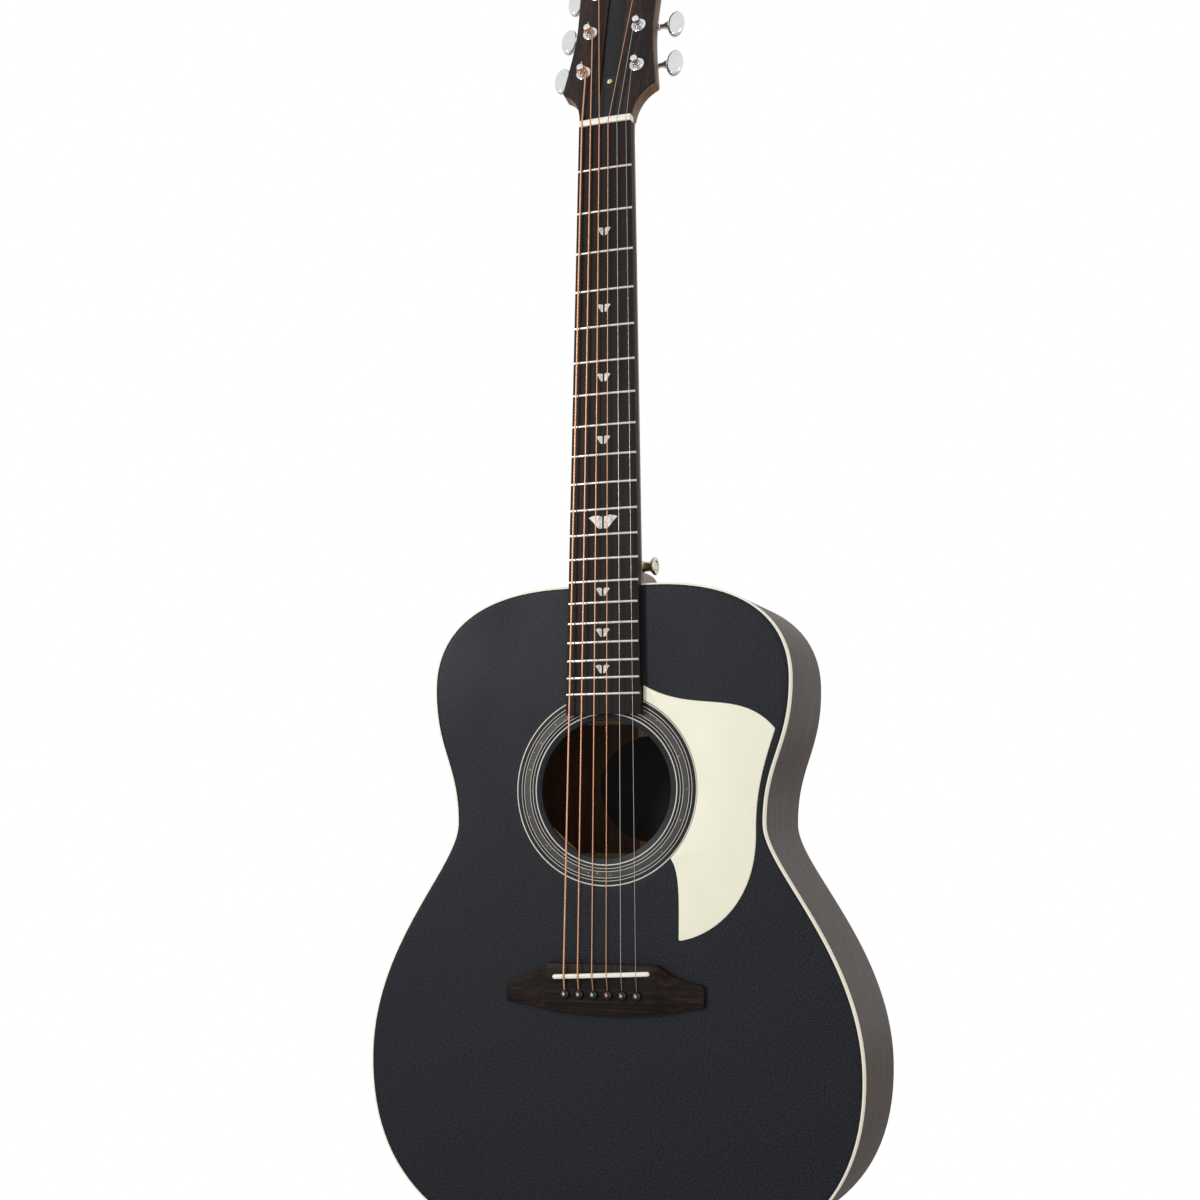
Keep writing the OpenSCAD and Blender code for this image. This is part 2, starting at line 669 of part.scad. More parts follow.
module neck() color("#5a4a40") difference() {
    union() {
        hull() {
            neck_section(nut_w / 2, neck_t, -skin);
            neck_section(heel_w, neck_heel_t, joint_z);
        }
        heel();
        hull() {
            neck_section(nut_w / 2 - volute_in, neck_t - volute_in, -volute_l);
            on_head() translate([-nut_w / 2 + volute_in, 1, volute_l])
                cube([nut_w - 2 * volute_in, head_t - 1 - volute_in, 2]);
        }
        translate([-nut_w / 2 + volute_in, 0, -1]) cube([nut_w - 2 * volute_in, neck_t / 3, nut_t + 1]);
        on_head() plan(0, head_t) polygon(both(head_outline));
    }
    translate([-far / 2, -far, -far / 2]) cube([far, far, nut_t + far / 2]);
    translate([-rod_w / 2 - seat_gap, -1, truss_end_z])
        cube([rod_w + 2 * seat_gap, rod_d + 1.3, -truss_end_z + truss_nut_z]);
    on_head() translate([-pocket_w, -1, -2]) cube([2 * pocket_w, pocket_d + 1, pocket_u + 2]);
    on_head() post_places() rod_y(bush_r + seat_gap, -1, head_t + 1);
    on_head() small_screw_shanks(screw_gap);
    bolt_places() rod_z(bolt_r + seat_gap, joint_z - 1, joint_z + bolt_in - 4);
    on_heel_side() rod_x(strap_base_r + 0.5, 0, far / 8);
    on_heel_side() rod_x(strap_screw_r + screw_gap, -strap_screw_l, 1);
}
module heel_cap() color("#241c19") translate([0, 0, joint_z])
    plan(heel_depth, heel_depth + 2.5) half_round(heel_cap_w, heel_cap_p);
module truss_rod() color("#8a8a88") {
    translate([-rod_w / 2, 0.2, truss_end_z + 1]) cube([rod_w, rod_d, -truss_end_z - 3]);
    translate([0, truss_y, 0]) rod_z(rod_w / 2, -2, 16);
    translate([0, truss_y, truss_nut_z]) cylinder(r = truss_nut_r, h = 8, $fn = 6);
}
module neck_bolts() color("#9a9a98") bolt_places() {
    rod_z(bolt_r, joint_z - side_t - block_l, joint_z + bolt_in - 6);
    rod_z(bolt_head_r + 3, joint_z - side_t - block_l - 1.5, joint_z - side_t - block_l);
    rod_z(bolt_head_r, joint_z - side_t - block_l - 6.5, joint_z - side_t - block_l - 1.5);
}

// ---- Headstock face ----
panel_split_u = 41;
cover_screw_u = 35;
wing_x = panel_w + pass_gap;
bevel_top_u = panel_split_u - 3;
bevel_run = bevel_top_u + 3;
bevel_half = wing_x + 6.3;
bevel_turn = atan((bevel_half - wing_x) / bevel_run);
bevel_lean = atan((wing_t - panel_t) / ((bevel_half - wing_x) * cos(bevel_turn)));
module nut_room() translate([-far / 2, -far, -far / 2]) cube([far, 2 * far, nut_t + far / 2]);
// Cuts the wing's inner edge down to the panel, in one slanted plane that widens to the nut
module wing_bevel() {
    translate([wing_x, -wing_t, bevel_top_u]) rotate([0, -bevel_turn, 0]) rotate([0, 0, -bevel_lean])
        translate([-bevel_half, -far, -far]) cube([bevel_half, far, far + 1]);
}
module headstock_overlay() color("#3a302b") difference() {
    on_head() for (side = [0, 1]) mirror([side, 0, 0]) plan(-wing_t, 0) intersection() {
        polygon(both(head_outline));
        translate([wing_x, -3]) square([far, head_length + 12]);
    }
    on_head() for (side = [0, 1]) mirror([side, 0, 0]) wing_bevel();
    nut_room();
    on_head() post_places() rod_y(bush_r + seat_gap, -wing_t - 1, 1);
}
module panel_2d(u0, u1) translate([-panel_w, u0]) square([2 * panel_w, u1 - u0]);
module headstock_panel() color("#141416") on_head() plan(-panel_t, 0) intersection() {
    polygon(both(head_outline));
    panel_2d(panel_split_u, head_length + 9);
}
module truss_rod_cover() color("#141416") difference() {
    on_head() plan(-panel_t, 0) panel_2d(0, panel_split_u - pass_gap);
    nut_room();
    on_head() translate([0, 0, cover_screw_u]) rod_y(cover_screw_r + seat_gap, -panel_t - 1, 1);
}

// ---- Tuners: string i sits on post i, 1 to 3 up the treble side, 6 to 4 up the bass side ----
function side_of(i) = i <= 3 ? 1 : -1;
function row_of(i) = i <= 3 ? i - 1 : 6 - i;
function post_px(i) = side_of(i) * (post_x - row_of(i) * post_step_in);
function post_u(i) = post_rise + row_of(i) * post_step;
bush_r = 4.9;
bush_l = 9;
washer_r = 6;
washer_t = 1;
bush_step_r = 4.3;
bush_step_t = 0.9;
case_wall = 1.2;
gear_t = 3;
thread_r = 2.3;
thread_e = 0.55;
gear_r = worm_offset - thread_r - mesh_gap;
tooth_e = thread_e * 0.85;
thread_pitch = 2 * PI * gear_r / gear_teeth;
thread_turns = 4;
gear_y = head_t + case_wall + gear_t / 2 + pass_gap;
case_half = gear_r + tooth_e + pass_gap + case_wall;
case_y1 = gear_y + thread_r + thread_e + pass_gap + case_wall;
case_u1 = worm_offset + thread_r + thread_e + pass_gap + case_wall;
shaft_r = 2;
collar_r = 2.8;
collar_l = 3;
button_at = case_half + collar_l + 6;
stem_l = 3.5;
case_round = 3;
case_flange_t = 1.6;
case_screw_drop = 2.7;
module case_2d() {
    case_flat = case_half - case_round;
    translate([-case_flat, -case_half]) square([2 * case_flat, case_half + case_u1]);
    translate([-case_half, -case_flat]) square([2 * case_half, case_flat + case_u1 - case_round]);
    for (x = [-1, 1]) for (u = [-case_half + case_round, case_u1 - case_round])
        translate([x * (case_half - case_round), u]) circle(case_round);
    translate([0, -case_half - case_screw_drop]) circle(3.4);
}
module housing(side) difference() {
    union() {
        plan(head_t, case_y1) intersection() {
            case_2d();
            translate([-far, -case_half]) square([2 * far, far]);
        }
        plan(head_t, head_t + case_flange_t) case_2d();
        translate([0, gear_y, worm_offset]) mirror([side > 0 ? 0 : 1, 0, 0])
            rod_x(collar_r, case_half - 1, case_half + collar_l);
    }
    rod_y(gear_r + tooth_e + pass_gap, gear_y - gear_t / 2 - pass_gap, gear_y + gear_t / 2 + pass_gap);
    rod_y(post_r + run_gap, head_t - 1, gear_y + gear_t / 2 + 1.4);
    translate([0, gear_y, worm_offset]) {
        rod_x(thread_r + thread_e + pass_gap, -thread_pitch * 2 - pass_gap, thread_pitch * 2 + pass_gap);
        mirror([side > 0 ? 0 : 1, 0, 0]) rod_x(shaft_r + run_gap, -thread_pitch * 2 - 1.6, far);
    }
    translate([0, 0, -case_half - case_screw_drop]) rod_y(case_screw_r + seat_gap, head_t - 1, far);
}
module tuner_housings() color("#d8d9da") on_head() for (i = [1 : 6])
    translate([post_px(i), 0, post_u(i)]) housing(side_of(i));
module tuner_bushings() color("#dcdddd") on_head() post_places() difference() {
    union() {
        rod_y(bush_r, -wing_t, bush_l - wing_t);
        rod_y(washer_r, -wing_t - washer_t, -wing_t);
        rod_y(bush_step_r, -wing_t - washer_t - bush_step_t, -wing_t - washer_t);
    }
    rod_y(post_r + run_gap, -far, far);
}
string_h = 3.7;
waist_r = post_r - 0.5;
waist_low = 2.8;
waist_high = 7.2;
post_hole_h = 6.5;
post_hole_r = 1;
module tuner_post(i) color("#e2e3e3") on_head() translate([post_px(i), 0, post_u(i)])
    difference() {
        union() {
            translate([0, -wing_t, 0]) rotate([90, 0, 0]) spin([[0, -wing_t - gear_y],
                [post_r, -wing_t - gear_y], [post_r, waist_low - 0.6], [waist_r, waist_low],
                [waist_r, waist_high], [post_r - 0.2, waist_high + 0.6], [post_r - 0.2, post_h - 1],
                [post_r - 0.9, post_h - 0.2], [post_r - 1.6, post_h], [0, post_h]]);
            plan(gear_y - gear_t / 2, gear_y + gear_t / 2) polygon(
                [for (k = [0 : 6 * gear_teeth - 1]) let (a = k * 60 / gear_teeth)
                    (gear_r - tooth_e * cos(gear_teeth * (a - 90))) * [cos(a), sin(a)]]);
            rod_y(post_r, gear_y, gear_y + gear_t / 2 + 1);
        }
        translate([0, -wing_t - post_hole_h, 0]) rod_z(post_hole_r, -far, far, $fn = 24);
    }
module tuner_button(i) color("#e2e3e3") on_head()
    translate([post_px(i), gear_y, post_u(i) + worm_offset]) {
        rotate([0, side_of(i) * 90, 0]) {
            linear_extrude(height = thread_turns * thread_pitch, center = true,
                twist = -360 * thread_turns, slices = 9 * thread_turns, $fn = 12)
                translate([side_of(i) * thread_e, 0]) circle(thread_r, $fn = 12);
            translate([0, 0, -thread_pitch * 2 - 1.2]) cylinder(r = shaft_r, h = 2);
            translate([0, 0, thread_pitch * 2 - 0.5])
                cylinder(r = shaft_r, h = button_at + 1 - thread_pitch * 2 + 0.5);
            translate([0, 0, button_at - stem_l]) cylinder(r1 = shaft_r, r2 = shaft_r + 1.4, h = stem_l + 1);
        }
        translate([side_of(i) * (button_at + button_w / 2), 0, 0]) plan(-button_t / 2, button_t / 2)
            polygon([for (a = [0 : 15 : 345]) [button_w / 2 * cos(a), button_l / 2 * sin(a)]]);
    }

// ---- Strings ----
// Each string stops beside its winding, which turns with the post
wraps = [5, 4, 3, 3, 2, 2];
wind_gap = 0.05;
function wind_r(i) = waist_r + wind_gap + 2 * string_r[i - 1];
function at_post(i) = head_point(
    post_px(i) - side_of(i) * (wind_r(i) + pass_gap + string_r[i - 1]),
    -wing_t - string_h, post_u(i));
ball_r = 1.9;
ball_l = 3.6;
module string_line(i) {
    r = string_r[i - 1];
    in_z = pin_z + string_in;
    entry = [pin_x(i), -bridge_h - r - 0.15, in_z];
    under = top_t + plate_t;
    exit = [pin_x(i), under + 0.8 + r, in_z];
    ball = [pin_x(i), under + ball_r + 0.15, pin_z + pin_r + ball_r + 0.2];
    bar(at_nut(i), at_post(i), r, r, 0);
    bar(at_saddle(i), at_nut(i), r, r, r);
    bar(entry, at_saddle(i), r, 0, r);
    bar(entry, exit, r, r, r);
    bar(exit, ball, r, 0, 0);
    translate(ball) rod_x(ball_r, -ball_l / 2, ball_l / 2);
}
function string_colour(i) = i <= 2 ? "#a8a8a4" : "#d9a583";
module string_winding(i) color(string_colour(i)) on_head() {
    r = string_r[i - 1];
    rise = waist_r + wind_gap + r;
    translate([post_px(i), -wing_t, post_u(i)]) {
        difference() {
            rod_y(wind_r(i), r - string_h - 2 * r * wraps[i - 1], r - string_h);
            rod_y(waist_r + wind_gap, -far, far);
        }
        translate([0, 0, -rise]) rod_y(r, -post_hole_h, r - string_h, $fn = 24);
        translate([0, -post_hole_h, 0]) rod_z(r, -rise - r, rise + 4, $fn = 24);
    }
}

// ---- Strap buttons and small screws ----
strap_h = 13;
strap_base_r = 5.5;
strap_waist_r = 3.7;
strap_flange_r = 7;
strap_screw_r = 2;
strap_screw_l = 22;
screw_gap = 0.05;
heel_button_y = 16;
heel_button_up = 15;
heel_seat_x = 21.5;
case_screw_r = 1.1;
cover_screw_r = 0.9;
strap_profile = [[strap_screw_r + seat_gap, 0], [strap_base_r, 0], [strap_waist_r, strap_h * 0.42],
    [strap_waist_r, strap_h * 0.58], [strap_flange_r - 0.8, strap_h - 2.4],
    [strap_flange_r, strap_h - 1.6], [strap_flange_r - 0.5, strap_h], [4, strap_h],
    [4, strap_h - 1.2], [strap_screw_r + seat_gap, strap_h - 3.2]];
module on_tail() {
    translate([0, tail_depth / 2, tail_z]) mirror([0, 0, 1]) children();
}
module on_heel_side() {
    translate([heel_seat_x, heel_button_y, joint_z + heel_button_up]) children();
}
module strap_buttons() color("#b9b4a8") {
    on_tail() spin(strap_profile);
    on_heel_side() rotate([0, 90, 0]) spin(strap_profile);
}
module strap_screw() {
    translate([0, 0, -strap_screw_l + 1]) cylinder(r = strap_screw_r, h = strap_screw_l + strap_h - 2);
    translate([0, 0, strap_h - 3.1])
        cylinder(r1 = strap_screw_r, r2 = 3.8, h = 1.9);
}
module small_screws() color("#c9c9c6") {
    on_tail() strap_screw();
    on_heel_side() rotate([0, 90, 0]) strap_screw();
    on_head() {
        small_screw_shanks(0);
        translate([0, 0, cover_screw_u]) rod_y(2.2, -panel_t - 0.9, -panel_t);
        case_screw_places() rod_y(2.3, head_t + case_flange_t, head_t + case_flange_t + 1.3);
    }
}
module case_screw_places() {
    post_places() translate([0, 0, -case_half - case_screw_drop]) children();
}
module small_screw_shanks(grow) {
    translate([0, 0, cover_screw_u]) rod_y(cover_screw_r + grow, -panel_t, 8);
    case_screw_places() rod_y(case_screw_r + grow, head_t - 8, head_t + case_flange_t);
}

soundboard();
rosette_band();
rosette_rings();
pickguard();
top_binding();
bass_side();
treble_side();
back_panel();
top_linings();
back_linings();
neck_block();
tail_block();
top_braces();
bridge_plate();
back_braces();
back_strip();
soundhole_label();
bridge();
saddle();
bridge_pins();
pin_dots();
neck();
fingerboard();
frets();
position_markers();
nut();
headstock_overlay();
headstock_panel();
truss_rod_cover();
truss_rod();
neck_bolts();
heel_cap();
strap_buttons();
small_screws();
tuner_housings();
tuner_bushings();
for (i = [1 : 6]) {
    color(string_colour(i)) string_line(i);
    string_winding(i);
    tuner_post(i);
    tuner_button(i);
}
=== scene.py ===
# Steel-string acoustic guitar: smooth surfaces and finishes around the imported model.
# Sizes are in millimetres here and turn to metres where each mesh is built.
import math

import bmesh
import bpy
import numpy as np
from mathutils import Matrix, Vector


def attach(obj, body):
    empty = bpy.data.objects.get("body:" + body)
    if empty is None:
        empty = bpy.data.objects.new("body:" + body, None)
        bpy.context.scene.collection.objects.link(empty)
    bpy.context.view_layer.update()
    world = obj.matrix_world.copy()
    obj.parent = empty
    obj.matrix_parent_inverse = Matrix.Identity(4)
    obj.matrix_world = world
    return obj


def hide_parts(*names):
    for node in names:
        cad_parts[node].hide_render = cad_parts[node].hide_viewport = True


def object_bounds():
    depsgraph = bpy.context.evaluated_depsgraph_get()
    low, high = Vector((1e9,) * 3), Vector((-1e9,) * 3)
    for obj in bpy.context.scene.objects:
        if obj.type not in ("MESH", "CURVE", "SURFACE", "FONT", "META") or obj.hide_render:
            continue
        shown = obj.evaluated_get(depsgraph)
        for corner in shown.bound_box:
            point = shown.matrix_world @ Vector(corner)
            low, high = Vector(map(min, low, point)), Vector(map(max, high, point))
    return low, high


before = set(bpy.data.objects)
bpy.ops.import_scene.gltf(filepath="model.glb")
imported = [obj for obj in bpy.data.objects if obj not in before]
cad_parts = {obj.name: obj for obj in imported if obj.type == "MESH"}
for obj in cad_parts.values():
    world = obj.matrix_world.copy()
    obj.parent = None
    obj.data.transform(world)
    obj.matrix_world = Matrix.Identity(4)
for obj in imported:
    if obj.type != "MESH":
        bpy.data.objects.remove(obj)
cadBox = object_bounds()
bpy.context.scene.view_settings.view_transform = "Standard"
mm = 0.001
print("model loaded:", len(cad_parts), "nodes")

cameraSettings = {"place": (455, -1193, -555), "yaw": 21.08, "pitch": 8.12, "roll": 0.22,
    "lens": 51.6, "sensor": 36.0}


def makeCamera(s):
    # Looks along (-sin yaw cos pitch, cos yaw cos pitch, sin pitch), then rolls about that line
    yaw, pitch, roll = (math.radians(s[k]) for k in ("yaw", "pitch", "roll"))
    ahead = Vector((-math.sin(yaw) * math.cos(pitch), math.cos(yaw) * math.cos(pitch), math.sin(pitch)))
    right = Vector((math.cos(yaw), math.sin(yaw), 0))
    up = right.cross(ahead)
    turned = right * math.cos(roll) + up * math.sin(roll)
    above = up * math.cos(roll) - right * math.sin(roll)
    data = bpy.data.cameras.new("camera")
    data.lens = s["lens"]
    data.sensor_width = s["sensor"]
    data.clip_end = 50
    camera = bpy.data.objects.new("camera", data)
    bpy.context.scene.collection.objects.link(camera)
    axes = Matrix((turned, above, -ahead)).transposed().to_4x4()
    camera.matrix_world = Matrix.Translation(Vector(s["place"]) * mm) @ axes
    bpy.context.scene.camera = camera


makeCamera(cameraSettings)

guitar = {"scale": 648, "frets": 20, "jointFret": 14, "jointGap": 2, "bodyLength": 491,
    "lowerBout": 380, "waist": 242, "upperBout": 283, "lowerRise": 141, "upperDrop": 73,
    "waistShare": 0.62, "tailDepth": 110, "neckDepth": 92, "archRadius": 4500,
    "topThick": 2.8, "backThick": 2.6, "sideThick": 2.4, "bindingThick": 1.5,
    "bindingDeep": 6, "holeRadius": 50.8, "holeGap": 4, "boardTail": 15,
    "nutWidth": 43, "lastFretWidth": 58.7, "boardThick": 7, "boardRadius": 400,
    "fretHigh": 1.1, "nutThick": 5, "nutAction": 0.35, "neckDeep": 14.4, "neckHeelDeep": 16.5,
    "headTilt": 14, "headBack": -3.5, "headLength": 166, "headThick": 11, "wingThick": 2.4,
    "panelThick": 1.2, "panelHalf": 7.3, "headCorner": 38.5, "headMiddle": 32.2}


def fretPlace(n):
    # Each fret stops a twelfth-root-of-two share of the string
    return -guitar["scale"] * (1 - 2 ** (-np.asarray(n, float) / 12))


jointZ = float(fretPlace(guitar["jointFret"])) - guitar["jointGap"]
tailZ = jointZ - guitar["bodyLength"]
saddleZ = -guitar["scale"]
boardEndZ = float(fretPlace(guitar["frets"])) - guitar["boardTail"]
holeZ = boardEndZ - guitar["holeGap"] - guitar["holeRadius"]
lowerZ = tailZ + guitar["lowerRise"]
upperZ = jointZ - guitar["upperDrop"]
waistZ = lowerZ + guitar["waistShare"] * (upperZ - lowerZ)


def boardHalf(z):
    # Half the fingerboard's width, widening evenly from the nut to the last fret
    grow = (guitar["lastFretWidth"] - guitar["nutWidth"]) / 2
    return guitar["nutWidth"] / 2 + grow * z / float(fretPlace(guitar["frets"]))


def backY(x, z, depth=0.0):
    # Back's arched surface: a wide cylinder that leans from the tail to the neck joint
    lean = math.atan((guitar["tailDepth"] - guitar["neckDepth"]) / guitar["bodyLength"])
    r = guitar["archRadius"]
    fall = r - np.sqrt(r * r - x * x)
    return guitar["tailDepth"] - (z - tailZ) * math.tan(lean) - (fall + depth) / math.cos(lean)


def gridFaces(rows, cols, wrapRows=False, wrapCols=False, start=0):
    # Quads of a grid of points numbered row by row
    r = np.arange(rows if wrapRows else rows - 1)
    c = np.arange(cols if wrapCols else cols - 1)
    rr, cc = np.meshgrid(r, c, indexing="ij")
    r2, c2 = (rr + 1) % rows, (cc + 1) % cols
    quads = np.stack([rr * cols + cc, rr * cols + c2, r2 * cols + c2, r2 * cols + cc], -1)
    return (quads.reshape(-1, 4) + start).tolist()


def closedLoft(rings):
    # Joins closed rings of points into a skin and closes both ends with a fan to the ring's middle
    rings = np.asarray(rings, float)
    rows, cols = rings.shape[:2]
    verts = np.vstack([rings.reshape(-1, 3), rings[0].mean(0), rings[-1].mean(0)])
    faces = gridFaces(rows, cols, wrapCols=True)
    i = np.arange(cols)
    j = (i + 1) % cols
    first, last = rows * cols, rows * cols + 1
    faces += np.stack([j, i, np.full(cols, first)], -1).tolist()
    faces += np.stack([i + (rows - 1) * cols, j + (rows - 1) * cols, np.full(cols, last)], -1).tolist()
    return verts, faces


def ringLoft(rings):
    # Joins closed rings of points into a tube that closes on itself, as a picture frame does
    rings = np.asarray(rings, float)
    rows, cols = rings.shape[:2]
    return rings.reshape(-1, 3), gridFaces(rows, cols, wrapRows=True, wrapCols=True)


def turned(profile, segments):
    # Rings (r cos a, r sin a, h) of the (radius, height) pairs at even angles a about +Z
    profile = np.asarray(profile, float)
    a = np.linspace(0, 2 * np.pi, segments, endpoint=False)
    r, h = profile[:, :1], profile[:, 1:]
    return np.stack([r * np.cos(a), r * np.sin(a), np.repeat(h, segments, 1)], -1)


def lathe(profile, segments=48):
    # A profile turned about +Z and closed at both ends
    return closedLoft(turned(profile, segments))


def washer(profile, segments):
    # A closed profile turned about +Z, leaving the hole open
    return ringLoft(turned(profile, segments))


def tube(path, radius, sides=16):
    # A circle carried along a path, square to it, with rounded ends
    path = np.asarray(path, float)
    radius = np.broadcast_to(np.asarray(radius, float), (len(path),)).copy()
    ahead = np.gradient(path, axis=0)
    ahead /= np.linalg.norm(ahead, axis=1, keepdims=True)
    side = np.cross(ahead, (1.0, 0.13, 0.07))
    side /= np.linalg.norm(side, axis=1, keepdims=True)
    over = np.cross(ahead, side)
    a = np.linspace(0, 2 * np.pi, sides, endpoint=False)
    circle = np.cos(a)[None, :, None] * side[:, None] + np.sin(a)[None, :, None] * over[:, None]
    return closedLoft(path[:, None] + radius[:, None, None] * circle)


def each(make):
    # The parts that a function makes for strings or tuners 1 to 6, as one
    return join(*[make(i) for i in range(1, 7)])


def points(x, y, z):
    # One array of points from three arrays or numbers that fit together
    return np.stack(np.broadcast_arrays(x, y, z), -1).astype(float)


def join(*parts):
    # Puts several (points, faces) pairs into one
    verts, faces, count = [], [], 0
    for v, f in parts:
        verts.append(np.asarray(v, float))
        faces += [[i + count for i in face] for face in f]
        count += len(v)
    return np.vstack(verts), faces


def place(part, origin, up, across=(1, 0, 0)):
    # Moves a part made about +Z to stand at a point along another axis: its X goes to what is
    # left of the across direction square to that axis, its Y to the cross product of the two
    up = np.asarray(up, float) / np.linalg.norm(up)
    x = np.asarray(across, float) - np.dot(across, up) * up
    if np.linalg.norm(x) < 0.1:
        x = np.array([0.0, 1.0, 0.0])
    x /= np.linalg.norm(x)
    y = np.cross(up, x)
    v = np.asarray(part[0])
    return v[:, :1] * x + v[:, 1:2] * y + v[:, 2:3] * up + np.asarray(origin, float), part[1]


def makePiece(name, part, look, stands=(), sharp=32, which=None, body="guitar"):
    verts, faces = part
    mesh = bpy.data.meshes.new(name)
    mesh.from_pydata((np.asarray(verts) * mm).tolist(), [], faces)
    bm = bmesh.new()
    bm.from_mesh(mesh)
    bmesh.ops.recalc_face_normals(bm, faces=bm.faces)
    bm.to_mesh(mesh)
    bm.free()
    mesh.polygons.foreach_set("use_smooth", [True] * len(mesh.polygons))
    mesh.set_sharp_from_angle(angle=math.radians(sharp))
    for key in ([look] if isinstance(look, str) else look):
        mesh.materials.append(looks[key])
    if which is not None:
        mesh.polygons.foreach_set("material_index", np.asarray(which, np.int32))
    piece = bpy.data.objects.new(name, mesh)
    bpy.context.scene.collection.objects.link(piece)
    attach(piece, body)
    if stands:
        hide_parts(*([stands] if isinstance(stands, str) else stands))


def bezier(p, t):
    # Cubic curve through p0 and p3, pulled by p1 and p2
    p = np.asarray(p, float)
    t = np.asarray(t, float)[:, None]
    return ((1 - t) ** 3 * p[0] + 3 * (1 - t) ** 2 * t * p[1]
        + 3 * (1 - t) * t * t * p[2] + t ** 3 * p[3])


def bezierSlope(p, t):
    # The cubic curve's rate of change: a quadratic mix of the gaps between its points
    p = np.asarray(p, float)
    t = np.asarray(t, float)[:, None]
    return (3 * (1 - t) ** 2 * (p[1] - p[0]) + 6 * (1 - t) * t * (p[2] - p[1])
        + 3 * t * t * (p[3] - p[2]))


def smoothStep(t):
    # Eases 0 to 1 as 3 t squared less 2 t cubed
    t = np.clip(t, 0, 1)
    return t * t * (3 - 2 * t)


def paint(code, strength=1.0):
    # sRGB hex to linear colour
    c = np.array([int(code[i:i + 2], 16) / 255 for i in (1, 3, 5)])
    c = np.where(c <= 0.04045, c / 12.92, ((c + 0.055) / 1.055) ** 2.4) * strength
    return (float(c[0]), float(c[1]), float(c[2]), 1.0)


def add(tree, kind, output=0, stops=(), **settings):
    # Adds one node and gives back one of its outputs. A setting is one of the node's own fields, or
    # a socket by name (n3 is the fourth), which takes a link or a value; stops fill a colour ramp.
    node = tree.nodes.new("ShaderNode" + kind)
    for key, value in settings.items():
        if key in node.bl_rna.properties:
            setattr(node, key, value)
            continue
        socket = node.inputs[int(key[1:]) if key[1:].isdigit() else key.replace("_", " ")]
        if isinstance(value, bpy.types.NodeSocket):
            tree.links.new(value, socket)
        else:
            socket.default_value = value
    while stops and len(node.color_ramp.elements) < len(stops):
        node.color_ramp.elements.new(0.5)
    for k, (at, code) in enumerate(stops):
        node.color_ramp.elements[k].position = at
        node.color_ramp.elements[k].color = paint(code)
    return node.outputs[output]


def perSize(size):
    # Pattern cells of a real size in millimetres along each axis: one over the size in metres
    return tuple(1 / (s * mm) for s in size)


def between(low, high, fromLow=0.3, fromHigh=0.7):
    # Settings that take a pattern's middle range evenly to low and high
    return {"From_Min": fromLow, "From_Max": fromHigh, "To_Min": low, "To_Max": high}


def newMaterial(name, patterns=(), **sockets):
    # A Principled surface, its plain numbers set on the shader, with one fractal pattern for each
    # (size in millimetres, detail, roughness, distortion); one number is the size on every axis
    material = bpy.data.materials.new(name)
    material.use_nodes = True
    tree = material.node_tree
    shader = tree.nodes["Principled BSDF"]
    for key, value in sockets.items():
        shader.inputs[key.replace("_", " ")].default_value = value
    made = []
    for size, detail, roughness, distortion in patterns:
        where = add(tree, "TexCoord", "Object")
        scale = perSize((size,) * 3 if isinstance(size, (int, float)) else size)
        made.append(add(tree, "TexNoise", "Fac", Vector=add(tree, "Mapping", Vector=where, Scale=scale),
            Scale=1.0, Detail=detail, Roughness=roughness, Distortion=distortion))
    return material, tree, shader, *made


def dress(tree, shader, tint, rough=None, relief=None, deep=0.0, strength=1.0):
    # Gives a surface its colour, its roughness (a link or a number) and relief deep millimetres high
    tree.links.new(tint, shader.inputs["Base Color"])
    if isinstance(rough, bpy.types.NodeSocket):
        tree.links.new(rough, shader.inputs["Roughness"])
    elif rough is not None:
        shader.inputs["Roughness"].default_value = rough
    if relief is not None:
        raised = add(tree, "Bump", Height=relief, Strength=strength, Distance=deep * mm)
        tree.links.new(raised, shader.inputs["Normal"])


def woodMaterial(name, tones, along, fibre, rough, pores=0.04, shine=0.4, streak=1.0):
    # Wood: a slow colour drift, fine fibres along the grain and dark open pores.
    # along is the grain's axis; fibre is the width of one fibre streak in millimetres.
    sizes = np.outer((1, 7 * streak, 0.32), (fibre,) * 3)
    sizes[:, along] = fibre * np.array((45, 160, 9))
    long, wide, thin = sizes.tolist()
    material, tree, shader, fine, slow, pore = newMaterial(name, [(long, 4, 0.6, 0.15),
        (wide, 2, 0.5, 0.6), (thin, 2, 0.7, 0.0)], Specular_IOR_Level=shine)
    both = add(tree, "Math", operation="ADD", n0=fine, n1=slow)
    half = add(tree, "Math", operation="MULTIPLY", n0=both, n1=0.5)
    tint = add(tree, "ValToRGB", "Color", list(zip((0, 0.5, 1), tones)),
        Fac=add(tree, "MapRange", Value=half, **between(0, 1, 0.36, 0.64)))
    dark = add(tree, "MapRange", Value=pore, **between(0, 0.5, 0.56, 0.7))
    tint = add(tree, "Mix", 2, data_type="RGBA", n0=dark, n6=tint, n7=paint(tones[0], 0.5))
    dress(tree, shader, tint, add(tree, "MapRange", Value=fine, **between(*rough)), pore, pores, 0.6)
    return material


